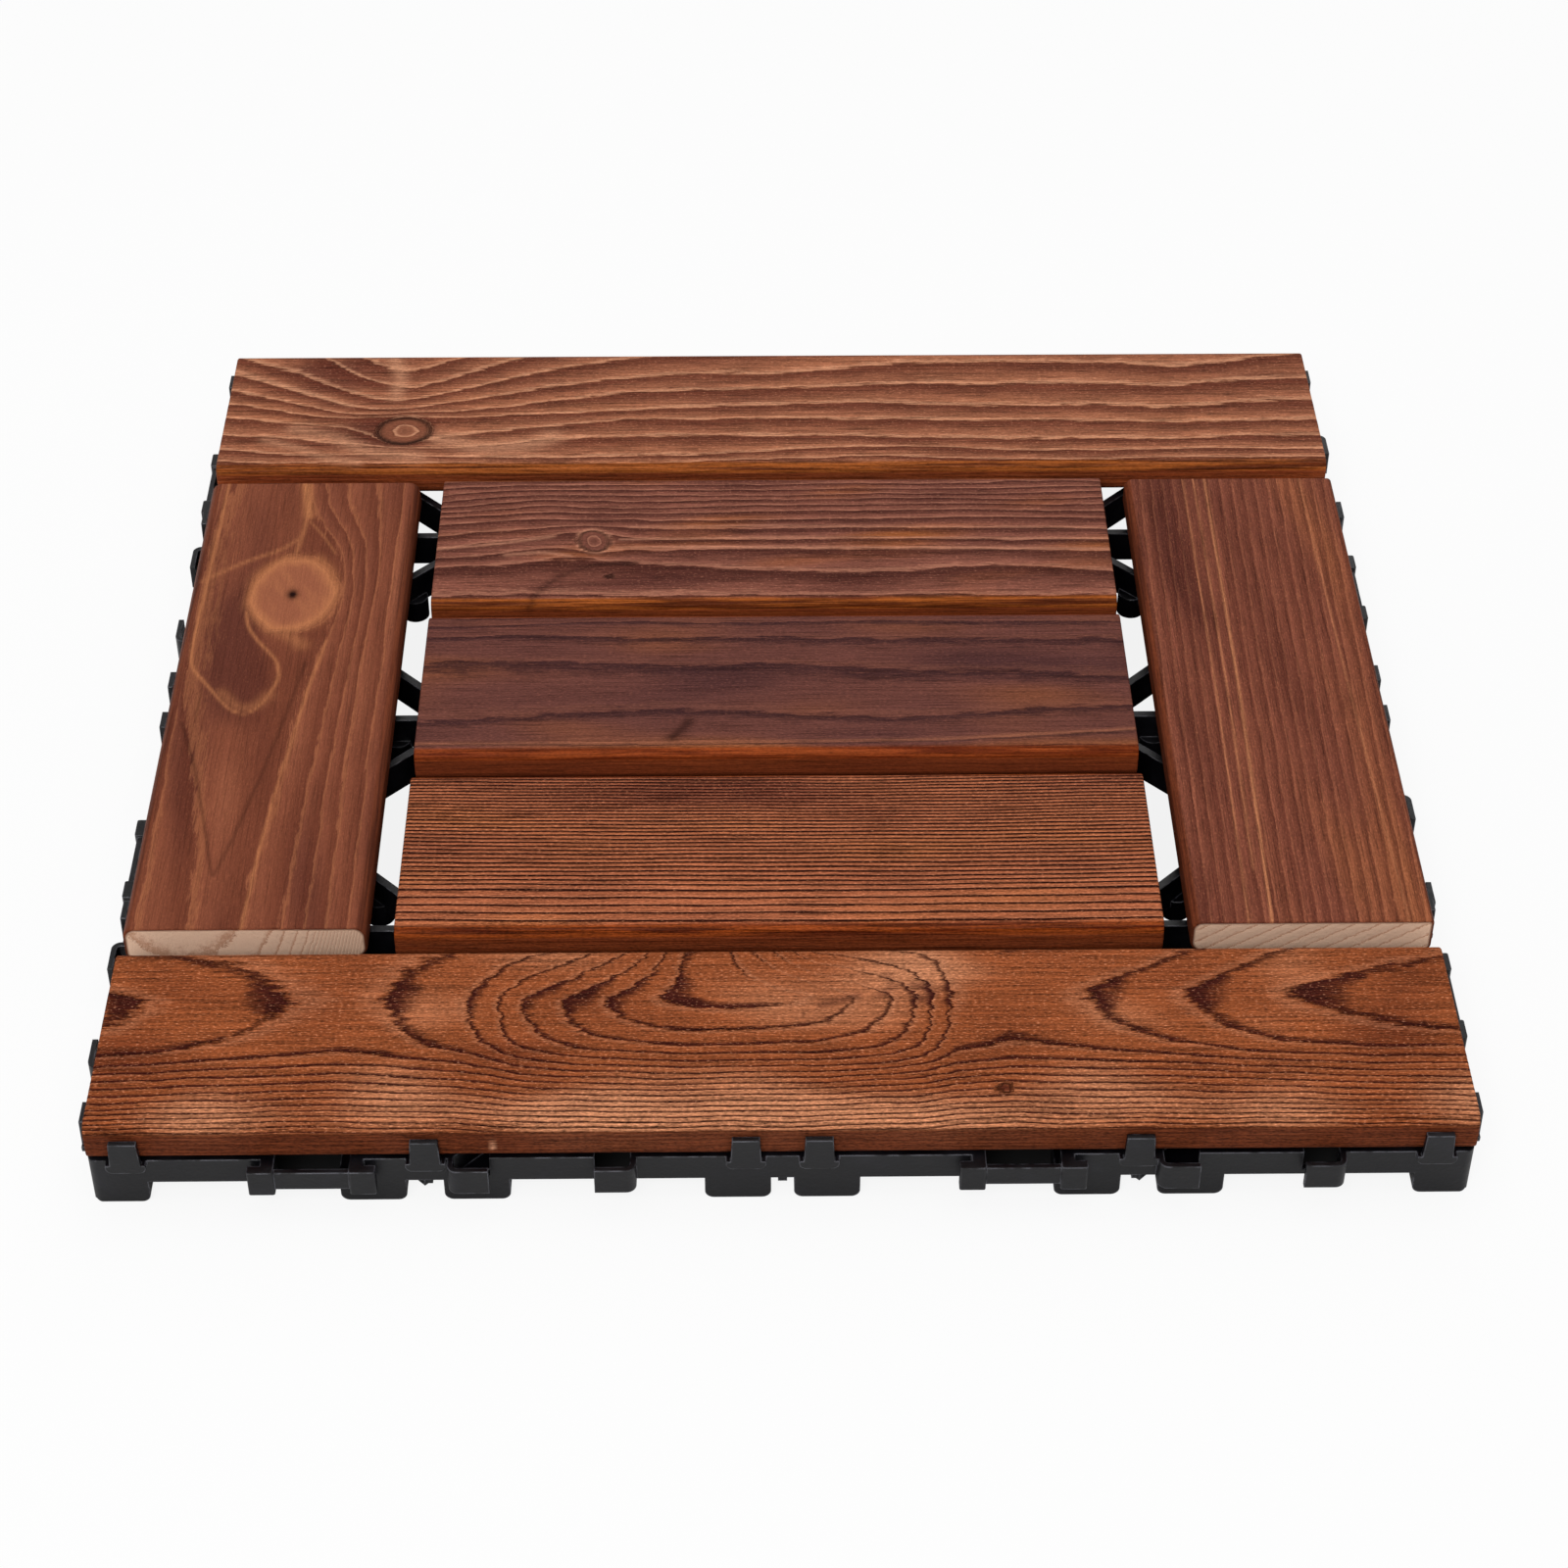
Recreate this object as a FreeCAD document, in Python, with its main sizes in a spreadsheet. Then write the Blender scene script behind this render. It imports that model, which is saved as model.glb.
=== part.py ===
import FreeCAD, Part
import math
import os
import re
import Sketcher
from FreeCAD import Placement, Rotation, Vector

# Interlocking deck tile, millimetres. +Z up, the feet stand on Z = 0, and the
# tile's centre is on the Z axis. Seven wooden planks are screwed from below to
# one moulded plastic grid, whose edge fittings catch those of the next tile.

doc = FreeCAD.newDocument("deck_tile")

SIZES = [
    ("tile_side", 300.0, "outer side of the plank square and of the grid wall"),
    ("tile_height", 22.8, "floor to plank tops"),
    ("plank_thickness", 9.4, "all planks"),
    ("plank_gap", 5.5, "between the long edges of neighbouring planks"),
    ("end_gap", 6.4, "between a middle plank's end and the side plank"),
    ("side_end_gap", 7.0, "between a side plank's end and the long plank"),
    ("edge_top_round", 3.0, "upper long edges of a plank"),
    ("edge_square_round", 1.2, "upper outer edge of the right side plank"),
    ("edge_outer_round", 1.6, "lower long edge at the tile's perimeter"),
    ("edge_inner_round", 3.0, "lower long edges inside the tile"),
    ("middle_back_shift", 0.8, "how far that plank lies behind its even place"),
    ("middle_centre_shift", 2.0, "the same for the centre plank"),
    ("middle_front_shift", 0.3, "the same for the front one"),
    ("wall_thickness", 1.6, "outer wall of the grid"),
    ("wall_height", 6.7, "outer wall, without its feet"),
    ("wall_above_floor", 6.1, "open height under the wall"),
    ("corner_round", 2.0, "plan radius of the grid's corners"),
    ("rib_pitch", 77.0, "lattice lines from the middle line outwards"),
    ("rib_width", 2.0, "straight and diagonal ribs"),
    ("rib_below_wall", 1.9, "ribs reach this much lower than the wall"),
    ("foot_width", 14.4, "feet under the wall"),
    ("foot_depth", 9.0, "measured inwards from the wall face"),
    ("foot_round", 2.0, "lower corners of a foot"),
    ("foot_skin", 1.6, "walls and roof of the hollow feet"),
    ("corner_foot_width", 12.5, "feet at the corners"),
    ("foot_from_middle", 9.7, "foot centre beside the middle line"),
    ("foot_before_rib", 10.65, "foot centre on the middle's side of an outer rib line"),
    ("foot_beyond_rib", 11.9, "foot centre on the corner's side of an outer rib line"),
    ("post_radius", 3.5, "round posts under the ribs"),
    ("post_from_rib", 17.9, "posts beside an outer rib crossing"),
    ("boss_radius", 6.0, "screw bosses, which are feet as well"),
    ("seat_above_floor", 5.0, "screw head seat in a boss"),
    ("access_radius", 4.4, "bore below the screw head"),
    ("shank_radius", 1.9, "plank screw"),
    ("shank_clearance", 0.15, "round the shank, in boss and plank"),
    ("screw_length", 14.4, "under the head"),
    ("point_length", 2.4, "tapered end of the screw"),
    ("head_radius", 3.9, "pan head"),
    ("head_height", 2.2, "pan head"),
    ("pilot_spare", 0.6, "pilot hole beyond the screw's point"),
    ("lock_far", 101.5, "loop and catch pair far from the middle line"),
    ("lock_near", 52.0, "loop and catch pair near the middle line"),
    ("lock_reach", 4.1, "how far loops and catches stand out"),
    ("loop_head_span", 27.6, "over both hook heads"),
    ("loop_neck_span", 22.2, "over both necks, which pass between two catches"),
    ("loop_arm_width", 5.7, "one hook head"),
    ("loop_head_round", 0.5, "front corners of a head in plan"),
    ("loop_neck_depth", 1.8, "wall face to the back of a head"),
    ("loop_bar_reach", 3.5, "front of the bar between the arms"),
    ("loop_bar_thickness", 1.3, "the bar"),
    ("loop_bar_lift", 1.2, "the bar's underside above the wall's lower edge"),
    ("loop_bar_height", 4.9, "the bar"),
    ("catch_spread", 31.7, "between the centres of a pair"),
    ("catch_width", 9.0, "one catch"),
    ("catch_thickness", 1.3, "plate and web of a catch"),
    ("catch_round", 2.2, "plan radius of a catch's outer corner"),
    ("window_sill", 1.4, "wall left under the openings behind the fittings"),
    ("tab_from_middle", 7.9, "upright tabs beside the middle line"),
    ("tab_from_corner", 8.5, "upright tabs beside the corners"),
    ("tab_top_width", 6.0, "tab"),
    ("tab_root_width", 6.8, "tab"),
    ("tab_thickness", 1.4, "tab"),
    ("tab_clearance", 0.3, "between a tab and the plank's face"),
    ("tab_below_top", 3.6, "tab tip below the plank tops"),
    ("ledge_width", 8.7, "rounded ledge that carries a tab"),
    ("ledge_height", 2.2, "ledge"),
    ("ledge_round", 1.5, "lower corners of a ledge"),
]

sheet = doc.addObject("Spreadsheet::Sheet", "Sizes")
for row, (word, value, note) in enumerate(SIZES, start=1):
    sheet.set("A%d" % row, note)
    sheet.set("B%d" % row, str(value))
    sheet.setAlias("B%d" % row, word)
doc.recompute()

# Heights and places that follow from the sizes
WALL_TOP = "(wall_above_floor + wall_height)"
PLANK_SEAT = "(tile_height - plank_thickness)"
RIB_BOTTOM = "(wall_above_floor - rib_below_wall)"
WALL_FACE = "(tile_side / 2)"
WALL_MIDDLE = "(tile_side / 2 - wall_thickness / 2)"
WALL_INSIDE = "(tile_side / 2 - wall_thickness)"
PLANK_WIDTH = "((tile_side - 4 * plank_gap) / 5)"
PLANK_STEP = "(%s + plank_gap)" % PLANK_WIDTH
SIDE_LENGTH = "(tile_side - 2 * %s - 2 * side_end_gap)" % PLANK_WIDTH
MIDDLE_LENGTH = "(tile_side - 2 * %s - 2 * end_gap)" % PLANK_WIDTH
TAB_REACH = "(tab_clearance + tab_thickness)"
HALF_PITCH = "(rib_pitch / 2)"
EDGE_CROSSING = "(1.5 * rib_pitch)"
CORNER_CROSSING = "((rib_pitch + %s) / 2)" % WALL_MIDDLE
BEYOND_RIB = "(rib_pitch + post_from_rib)"
BEFORE_RIB = "(rib_pitch - post_from_rib)"
THREAD_IN_WOOD = "(screw_length + seat_above_floor - %s)" % PLANK_SEAT


def bound(text):
    # Every plain word in an expression is a cell of the sheet
    return re.sub(r"\b([a-z][a-z_]+)\b(?!\()", r"Sizes.\1", text)


def number(text):
    return float(sheet.evalExpression(bound(text)))


def start_body(name):
    body = doc.addObject("PartDesign::Body", name)
    body.Label = name
    return body


def origin_item(body, role):
    return [item for item in body.Origin.OriginFeatures if item.Role == role][0]


class Drawing:
    # A sketch whose constraints are collected first and added in one go
    def __init__(self, body, name, role, lift="0", turn=0.0):
        self.sketch = body.newObject("Sketcher::SketchObject", name)
        self.sketch.AttachmentSupport = (origin_item(body, role), [""])
        self.sketch.MapMode = "FlatFace"
        spin = Rotation(Vector(0, 0, 1), turn)
        self.sketch.AttachmentOffset = Placement(Vector(0, 0, number(lift)), spin)
        self.sketch.setExpression("AttachmentOffset.Base.z", bound(lift))
        self.rules = []
        self.texts = []

    def rule(self, *terms):
        self.rules.append(Sketcher.Constraint(*terms))

    def fix(self, text, *terms):
        self.texts.append((len(self.rules), text))
        self.rule(*terms, number(text))

    def close(self):
        self.sketch.addConstraint(self.rules)
        for index, text in self.texts:
            self.sketch.setExpression("Constraints[%d]" % index, bound(text))
        return self.sketch

    def outline(self, corners):
        # Closed outline of level and upright edges. A corner is (x, y), or
        # (x, y, radius) where it is rounded.
        spots = [Vector(number(corner[0]), number(corner[1]), 0) for corner in corners]
        radii = [corner[2] if len(corner) > 2 else None for corner in corners]
        reach = [number(radius) if radius else 0.0 for radius in radii]
        total = len(corners)
        steps = [(spots[(i + 1) % total] - spots[i]).normalize() for i in range(total)]
        lines = []
        for i in range(total):
            j = (i + 1) % total
            first = spots[i] + steps[i] * reach[i]
            last = spots[j] - steps[i] * reach[j]
            line = self.sketch.addGeometry(Part.LineSegment(first, last), False)
            lines.append(line)
            if abs(steps[i].y) < 0.5:
                self.rule("Horizontal", line)
                self.fix(corners[i][1], "DistanceY", -1, 1, line, 1)
            else:
                self.rule("Vertical", line)
                self.fix(corners[i][0], "DistanceX", -1, 1, line, 1)
        for i in range(total):
            if radii[i] is None:
                self.rule("Coincident", lines[i - 1], 2, lines[i], 1)
                continue
            centre = spots[i] + (steps[i] - steps[i - 1]) * reach[i]
            left_turn = steps[i - 1].cross(steps[i]).z > 0
            begin = -steps[i - 1] if left_turn else steps[i]
            ray = spots[i] + begin * reach[i] - centre
            angle = math.atan2(ray.y, ray.x)
            circle = Part.Circle(centre, Vector(0, 0, 1), reach[i])
            curve = Part.ArcOfCircle(circle, angle, angle + math.pi / 2)
            arc = self.sketch.addGeometry(curve, False)
            start, end = (1, 2) if left_turn else (2, 1)
            self.rule("Tangent", lines[i - 1], 2, arc, start)
            self.rule("Tangent", lines[i], 1, arc, end)
            self.fix(radii[i], "Radius", arc)

    def box(self, left, right, low, high, radius=None):
        # Rectangle whose two lower corners may be rounded
        lower = (radius,) if radius else ()
        self.outline([
            (left, low) + lower,
            (right, low) + lower,
            (right, high),
            (left, high),
        ])

    def square(self, half, radius):
        self.outline([
            ("-" + half, "-" + half, radius),
            (half, "-" + half, radius),
            (half, half, radius),
            ("-" + half, half, radius),
        ])

    def taper(self, middle, low, high, low_width, high_width):
        # Upright strip, symmetric about its middle line, narrower at the top
        corners = [
            ("(%s - %s / 2)" % (middle, low_width), low),
            ("(%s + %s / 2)" % (middle, low_width), low),
            ("(%s + %s / 2)" % (middle, high_width), high),
            ("(%s - %s / 2)" % (middle, high_width), high),
        ]
        spots = [Vector(number(across), number(up), 0) for across, up in corners]
        lines = []
        for i in range(4):
            edge = Part.LineSegment(spots[i], spots[(i + 1) % 4])
            lines.append(self.sketch.addGeometry(edge, False))
            self.fix(corners[i][0], "DistanceX", -1, 1, lines[i], 1)
            self.fix(corners[i][1], "DistanceY", -1, 1, lines[i], 1)
        for i in range(4):
            self.rule("Coincident", lines[i - 1], 2, lines[i], 1)

    def circle(self, across, up, radius):
        centre = Vector(number(across), number(up), 0)
        ring = Part.Circle(centre, Vector(0, 0, 1), number(radius))
        index = self.sketch.addGeometry(ring, False)
        self.fix(across, "DistanceX", -1, 1, index, 3)
        self.fix(up, "DistanceY", -1, 1, index, 3)
        self.fix(radius, "Radius", index)


def raise_pad(body, drawing, name, length, down=False, both=False):
    pad = body.newObject("PartDesign::Pad", name)
    pad.Profile = drawing.close()
    pad.setExpression("Length", bound(length))
    pad.Reversed = down
    pad.Midplane = both
    return pad


def cut_pocket(body, drawing, name, depth, up=False):
    pocket = body.newObject("PartDesign::Pocket", name)
    pocket.Profile = drawing.close()
    pocket.setExpression("Length", bound(depth))
    pocket.Reversed = up
    return pocket


def turn_pattern(body, name, features, copies, angle):
    pattern = body.newObject("PartDesign::PolarPattern", name)
    pattern.Originals = features
    pattern.Axis = (origin_item(body, "Z_Axis"), [""])
    pattern.Angle = angle
    pattern.Occurrences = copies
    body.Tip = pattern


def beside(middle, offset):
    return "(%s - %s)" % (middle, offset), "(%s + %s)" % (middle, offset)


# Base grid: one moulding, whose four sides are alike. The front side is made
# once, with its wall, feet and fittings, and is turned four times about Z.
side = start_body("grid_side")

wall_plan = Drawing(side, "wall_plan", "XY_Plane", "wall_above_floor")
wall_plan.box("-" + WALL_FACE, WALL_FACE, "-" + WALL_FACE, "-" + WALL_INSIDE)
raise_pad(side, wall_plan, "wall", "wall_height")

# Hollow feet under the wall, in pairs beside the straight ribs
FEET = [
    ("foot_from_middle", "foot_width"),
    ("(rib_pitch - foot_before_rib)", "foot_width"),
    ("(rib_pitch + foot_beyond_rib)", "foot_width"),
    ("(tile_side / 2 - corner_foot_width / 2)", "corner_foot_width"),
]
foot_face = Drawing(side, "foot_face", "XZ_Plane", WALL_FACE)
core_plan = Drawing(side, "core_plan", "XY_Plane")
for line, width in FEET:
    for sign in ("", "-"):
        left, right = beside(sign + line, "%s / 2" % width)
        foot_face.box(left, right, "0", "(wall_above_floor + foot_skin)", "foot_round")
        left, right = beside(sign + line, "(%s / 2 - foot_skin)" % width)
        core_plan.box(left, right, "(foot_skin - %s)" % WALL_FACE,
                      "(foot_depth - foot_skin - %s)" % WALL_FACE)
raise_pad(side, foot_face, "feet", "foot_depth", down=True)
cut_pocket(side, core_plan, "foot_cores", "wall_above_floor", up=True)

# The rounded corners of the grid, cut from the ends of the wall and its feet
trim_plan = Drawing(side, "trim_plan", "XY_Plane")
trim_plan.square("(%s + corner_round)" % WALL_FACE, "(2 * corner_round)")
trim_plan.square(WALL_FACE, "corner_round")
cut_pocket(side, trim_plan, "corner_trim", WALL_TOP, up=True)

# Upright tabs on rounded ledges, in front of the outer planks
TAB_LINES = ["tab_from_middle", "rib_pitch", "(tile_side / 2 - tab_from_corner)"]
ledge_face = Drawing(side, "ledge_face", "XZ_Plane", WALL_FACE)
tab_face = Drawing(side, "tab_face", "XZ_Plane", "(%s + tab_clearance)" % WALL_FACE)
for line in TAB_LINES:
    for sign in ("", "-"):
        left, right = beside(sign + line, "ledge_width / 2")
        ledge_face.box(left, right, "(%s - ledge_height)" % WALL_TOP, WALL_TOP, "ledge_round")
        tab_face.taper(sign + line, "(%s - ledge_height / 2)" % WALL_TOP,
                       "(tile_height - tab_below_top)", "tab_root_width", "tab_top_width")
raise_pad(side, ledge_face, "ledges", TAB_REACH)
raise_pad(side, tab_face, "tabs", "tab_thickness")

# Edge fittings. A loop has two hook heads on necks, joined by a bar. It drops
# between the two catches of the next tile, and its heads sit behind their plates.
ROOT = "-" + WALL_MIDDLE
FRONT = "-(%s + lock_reach)" % WALL_FACE
HEAD_BACK = "-(%s + loop_neck_depth)" % WALL_FACE
HEAD_INSIDE = "(loop_head_span / 2 - loop_arm_width)"
PLATE_BACK = "(catch_thickness - %s - lock_reach)" % WALL_FACE
WINDOW_FRONT = "-(%s + wall_thickness / 2)" % WALL_FACE
arm_plan = Drawing(side, "arm_plan", "XY_Plane", "wall_above_floor")
bar_plan = Drawing(side, "bar_plan", "XY_Plane", "(wall_above_floor + loop_bar_lift)")
catch_plan = Drawing(side, "catch_plan", "XY_Plane", "wall_above_floor")
window_plan = Drawing(side, "window_plan", "XY_Plane", WALL_TOP)
for line in ("-lock_far", "lock_near"):
    for hand in ("-", "+"):
        inner = "(%s %s %s)" % (line, hand, HEAD_INSIDE)
        neck = "(%s %s loop_neck_span / 2)" % (line, hand)
        outer = "(%s %s loop_head_span / 2)" % (line, hand)
        arm_plan.outline([
            (inner, ROOT),
            (inner, FRONT, "loop_head_round"),
            (outer, FRONT, "loop_head_round"),
            (outer, HEAD_BACK),
            (neck, HEAD_BACK),
            (neck, ROOT),
        ])
    left, right = beside(line, "(%s + loop_arm_width / 4)" % HEAD_INSIDE)
    bar_plan.box(left, right, "-(%s + loop_bar_reach)" % WALL_FACE,
                 "-(%s + loop_bar_reach - loop_bar_thickness)" % WALL_FACE)
    left, right = beside(line, HEAD_INSIDE)
    window_plan.box(left, right, WINDOW_FRONT, "-" + WALL_INSIDE)
for line in ("lock_far", "-lock_near"):
    for hand, back in (("-", "+"), ("+", "-")):
        centre = "(%s %s catch_spread / 2)" % (line, hand)
        outer = "(%s %s catch_width / 2)" % (centre, hand)
        inner = "(%s %s catch_width / 2)" % (centre, back)
        web = "(%s %s catch_thickness)" % (outer, back)
        catch_plan.outline([
            (outer, ROOT),
            (outer, FRONT, "catch_round"),
            (inner, FRONT),
            (inner, PLATE_BACK),
            (web, PLATE_BACK, "(catch_round - catch_thickness)"),
            (web, ROOT),
        ])
        window_plan.box(web, inner, WINDOW_FRONT, "-" + WALL_INSIDE)
cut_pocket(side, window_plan, "windows", "(wall_height - window_sill)")
raise_pad(side, arm_plan, "loop_arms", "wall_height")
raise_pad(side, bar_plan, "loop_bars", "loop_bar_height")
raise_pad(side, catch_plan, "catches", "wall_height")

# Lattice: straight ribs on three lines each way, and diagonals in every cell
lattice = start_body("lattice")
RIB_HEIGHT = "(%s - %s)" % (WALL_TOP, RIB_BOTTOM)
straight_plan = Drawing(lattice, "straight_plan", "XY_Plane", RIB_BOTTOM)
for line in ("-rib_pitch", "0 * rib_pitch", "rib_pitch"):
    left, right = beside(line, "rib_width / 2")
    straight_plan.box(left, right, "-" + WALL_MIDDLE, WALL_MIDDLE)
straight = raise_pad(lattice, straight_plan, "straight_ribs", RIB_HEIGHT)
slant_plan = Drawing(lattice, "slant_plan", "XY_Plane", RIB_BOTTOM, turn=45)
CORNER_SLANT = "((rib_pitch + %s) / sqrt(2))" % WALL_MIDDLE
SLANT_LINES = ["0 * rib_pitch"]
for line in ("(rib_pitch / sqrt(2))", "(rib_pitch * sqrt(2))", CORNER_SLANT):
    SLANT_LINES += [line, "-" + line]
for line in SLANT_LINES:
    run = "(%s * sqrt(2) - abs(%s))" % (WALL_MIDDLE, line)
    low, high = beside(line, "rib_width / 2")
    slant_plan.box("-" + run, run, low, high)
slant = raise_pad(lattice, slant_plan, "slanting_ribs", RIB_HEIGHT)
turn_pattern(lattice, "crossed_ribs", [straight, slant], 2, 90)


def four_turns(spots):
    turned = []
    for across, up in spots:
        turned += [(across, up), ("-" + up, across), ("-" + across, "-" + up), (up, "-" + across)]
    return turned


# Round posts under the ribs, and screw bosses that stand on the floor too
POST_SPOTS = four_turns([
    (BEYOND_RIB, "0"),
    (BEYOND_RIB, BEFORE_RIB),
    (BEFORE_RIB, BEYOND_RIB),
    (HALF_PITCH, HALF_PITCH),
])
BOSS_SPOTS = four_turns([
    ("rib_pitch", "0"),
    ("rib_pitch", "rib_pitch"),
    (HALF_PITCH, EDGE_CROSSING),
    (EDGE_CROSSING, HALF_PITCH),
    (CORNER_CROSSING, CORNER_CROSSING),
])


def circles(name, spots, radius):
    plan = Drawing(lattice, name + "_plan", "XY_Plane")
    for across, up in spots:
        plan.circle(across, up, radius)
    return plan


raise_pad(lattice, circles("post", POST_SPOTS, "post_radius"), "posts", "wall_above_floor")
raise_pad(lattice, circles("boss", BOSS_SPOTS, "boss_radius"), "bosses", PLANK_SEAT)
cut_pocket(lattice, circles("bore", BOSS_SPOTS, "access_radius"), "head_bores",
           "seat_above_floor", up=True)
cut_pocket(lattice, circles("hole", BOSS_SPOTS, "(shank_radius + shank_clearance)"),
           "shank_holes", PLANK_SEAT, up=True)

sides = [side]
for quarter_turn in (1, 2, 3):
    link = doc.addObject("App::Link", "grid_side_%d" % (quarter_turn + 1))
    link.LinkedObject = side
    link.Placement = Placement(Vector(), Rotation(Vector(0, 0, 1), 90 * quarter_turn))
    sides.append(link)
grid = doc.addObject("Part::MultiFuse", "base_grid")
grid.Label = "base_grid"
grid.Shapes = sides + [lattice]
grid.Refine = True


# Planks: rounded boards that lie on the bosses, with blind pilot holes below.
# In a plank's own frame X runs along it, and +Y is the side that faces outwards.
def make_plank(name, length, rounds, holes, across, up, turn):
    plank = start_body(name)
    section = Drawing(plank, name + "_section", "YZ_Plane")
    half = "(%s / 2)" % PLANK_WIDTH
    lower_round, upper_round = rounds
    section.outline([
        ("-" + half, "0", "edge_inner_round"),
        (half, "0", lower_round),
        (half, "plank_thickness", upper_round),
        ("-" + half, "plank_thickness", "edge_top_round"),
    ])
    raise_pad(plank, section, name + "_board", length, both=True)
    pilots = Drawing(plank, name + "_pilots", "XY_Plane")
    for along, aside in holes:
        pilots.circle(along, aside, "(shank_radius + shank_clearance)")
        pilots.circle("-" + along, aside, "(shank_radius + shank_clearance)")
    cut_pocket(plank, pilots, name + "_holes", "(%s + pilot_spare)" % THREAD_IN_WOOD, up=True)
    plank.Placement = Placement(Vector(), Rotation(Vector(0, 0, 1), turn))
    plank.setExpression("Placement.Base.x", bound(across))
    plank.setExpression("Placement.Base.y", bound(up))
    plank.setExpression("Placement.Base.z", bound(PLANK_SEAT))
    return plank


OUTER_LINE = "(tile_side / 2 - %s / 2)" % PLANK_WIDTH
EDGE_HOLE = (HALF_PITCH, "(%s - %s)" % (EDGE_CROSSING, OUTER_LINE))
CORNER_HOLE = (CORNER_CROSSING, "(%s - %s)" % (CORNER_CROSSING, OUTER_LINE))
LONG_HOLES = [EDGE_HOLE, CORNER_HOLE]
OUTER_ROUNDS = ("edge_outer_round", "edge_top_round")
SQUARE_ROUNDS = ("edge_outer_round", "edge_square_round")
INNER_ROUNDS = ("edge_inner_round", "edge_top_round")
planks = [
    make_plank("back_plank", "tile_side", OUTER_ROUNDS, LONG_HOLES,
               "0", OUTER_LINE, 0),
    make_plank("front_plank", "tile_side", OUTER_ROUNDS, LONG_HOLES,
               "0", "-" + OUTER_LINE, 180),
    make_plank("left_side_plank", SIDE_LENGTH, OUTER_ROUNDS, [EDGE_HOLE],
               "-" + OUTER_LINE, "0", 90),
    make_plank("right_side_plank", SIDE_LENGTH, SQUARE_ROUNDS, [EDGE_HOLE],
               OUTER_LINE, "0", -90),
]
MIDDLE_ROWS = [
    ("middle_back_plank", "rib_pitch", "(%s + middle_back_shift)" % PLANK_STEP),
    ("middle_centre_plank", "0 * rib_pitch", "middle_centre_shift"),
    ("middle_front_plank", "-rib_pitch", "(middle_front_shift - %s)" % PLANK_STEP),
]
for name, rib_line, place in MIDDLE_ROWS:
    hole = ("rib_pitch", "(%s - %s)" % (rib_line, place))
    planks.append(
        make_plank(name, MIDDLE_LENGTH, INNER_ROUNDS, [hole], "0", place, 0))

# Plank screws: pan head in the boss, shank up through it into the wood
screw = start_body("screw")
screw_half = Drawing(screw, "screw_half", "XZ_Plane")
screw_half.outline([
    ("0", "-head_height"),
    ("head_radius", "-head_height"),
    ("head_radius", "0"),
    ("shank_radius", "0"),
    ("shank_radius", "(screw_length - point_length)"),
    ("0", "(screw_length - point_length)"),
])
turned = screw.newObject("PartDesign::Revolution", "turned_screw")
turned.Profile = screw_half.close()
turned.ReferenceAxis = (origin_item(screw, "Z_Axis"), [""])
turned.Angle = 360
point = screw.newObject("PartDesign::AdditiveCone", "screw_point")
point.AttachmentSupport = (origin_item(screw, "XY_Plane"), [""])
point.MapMode = "FlatFace"
point.setExpression("Radius1", bound("shank_radius"))
point.setExpression("Radius2", bound("(shank_radius / 8)"))
point.setExpression("Height", bound("point_length"))
point.setExpression("AttachmentOffset.Base.z", bound("(screw_length - point_length)"))

SCREW_SPOTS = []
for across in (HALF_PITCH, CORNER_CROSSING):
    up = EDGE_CROSSING if across == HALF_PITCH else CORNER_CROSSING
    SCREW_SPOTS += [(a + across, b + up) for a in ("", "-") for b in ("", "-")]
SCREW_SPOTS += [(a + EDGE_CROSSING, b + HALF_PITCH) for a in ("", "-") for b in ("", "-")]
for row in ("rib_pitch", "0", "-rib_pitch"):
    SCREW_SPOTS += [(a + "rib_pitch", row) for a in ("", "-")]
screws = []
for i, (across, up) in enumerate(SCREW_SPOTS, start=1):
    link = doc.addObject("App::Link", "screw_%d" % i)
    link.LinkedObject = screw
    link.setExpression("Placement.Base.x", bound(across))
    link.setExpression("Placement.Base.y", bound(up))
    link.setExpression("Placement.Base.z", bound("seat_above_floor"))
    screws.append(link)
plank_screws = doc.addObject("Part::Compound", "plank_screws")
plank_screws.Label = "plank_screws"
plank_screws.Links = screws

doc.recompute()
for item in doc.Objects:
    if "Invalid" in item.State or "Error" in item.State:
        raise RuntimeError("%s did not build" % item.Name)
os.makedirs("parts", exist_ok=True)
for node in [grid] + planks + [plank_screws]:
    if node.Shape.isNull() or not node.Shape.isValid():
        raise RuntimeError("%s has no valid shape" % node.Label)
    node.Shape.exportStep("parts/%s.step" % node.Label)
    print(node.Label, len(node.Shape.Solids), round(node.Shape.Volume), node.Shape.BoundBox)
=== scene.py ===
import math

import bpy
import numpy as np
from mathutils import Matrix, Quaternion, Vector


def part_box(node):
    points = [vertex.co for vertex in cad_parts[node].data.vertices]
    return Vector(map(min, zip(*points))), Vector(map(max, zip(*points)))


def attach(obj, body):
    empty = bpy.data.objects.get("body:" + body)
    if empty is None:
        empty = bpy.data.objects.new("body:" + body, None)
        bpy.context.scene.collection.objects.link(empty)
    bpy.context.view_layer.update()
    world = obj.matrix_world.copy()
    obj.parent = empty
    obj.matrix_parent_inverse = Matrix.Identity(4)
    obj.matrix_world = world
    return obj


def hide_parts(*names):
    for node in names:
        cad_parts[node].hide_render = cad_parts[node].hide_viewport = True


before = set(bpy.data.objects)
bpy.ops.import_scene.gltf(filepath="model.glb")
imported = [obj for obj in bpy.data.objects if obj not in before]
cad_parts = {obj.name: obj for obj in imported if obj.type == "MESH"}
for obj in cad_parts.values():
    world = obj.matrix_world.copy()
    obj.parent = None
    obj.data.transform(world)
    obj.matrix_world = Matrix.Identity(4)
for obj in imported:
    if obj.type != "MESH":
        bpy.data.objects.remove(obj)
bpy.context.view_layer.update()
milli = 0.001
white = (1.0, 1.0, 1.0)
print("frame loaded")


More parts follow.
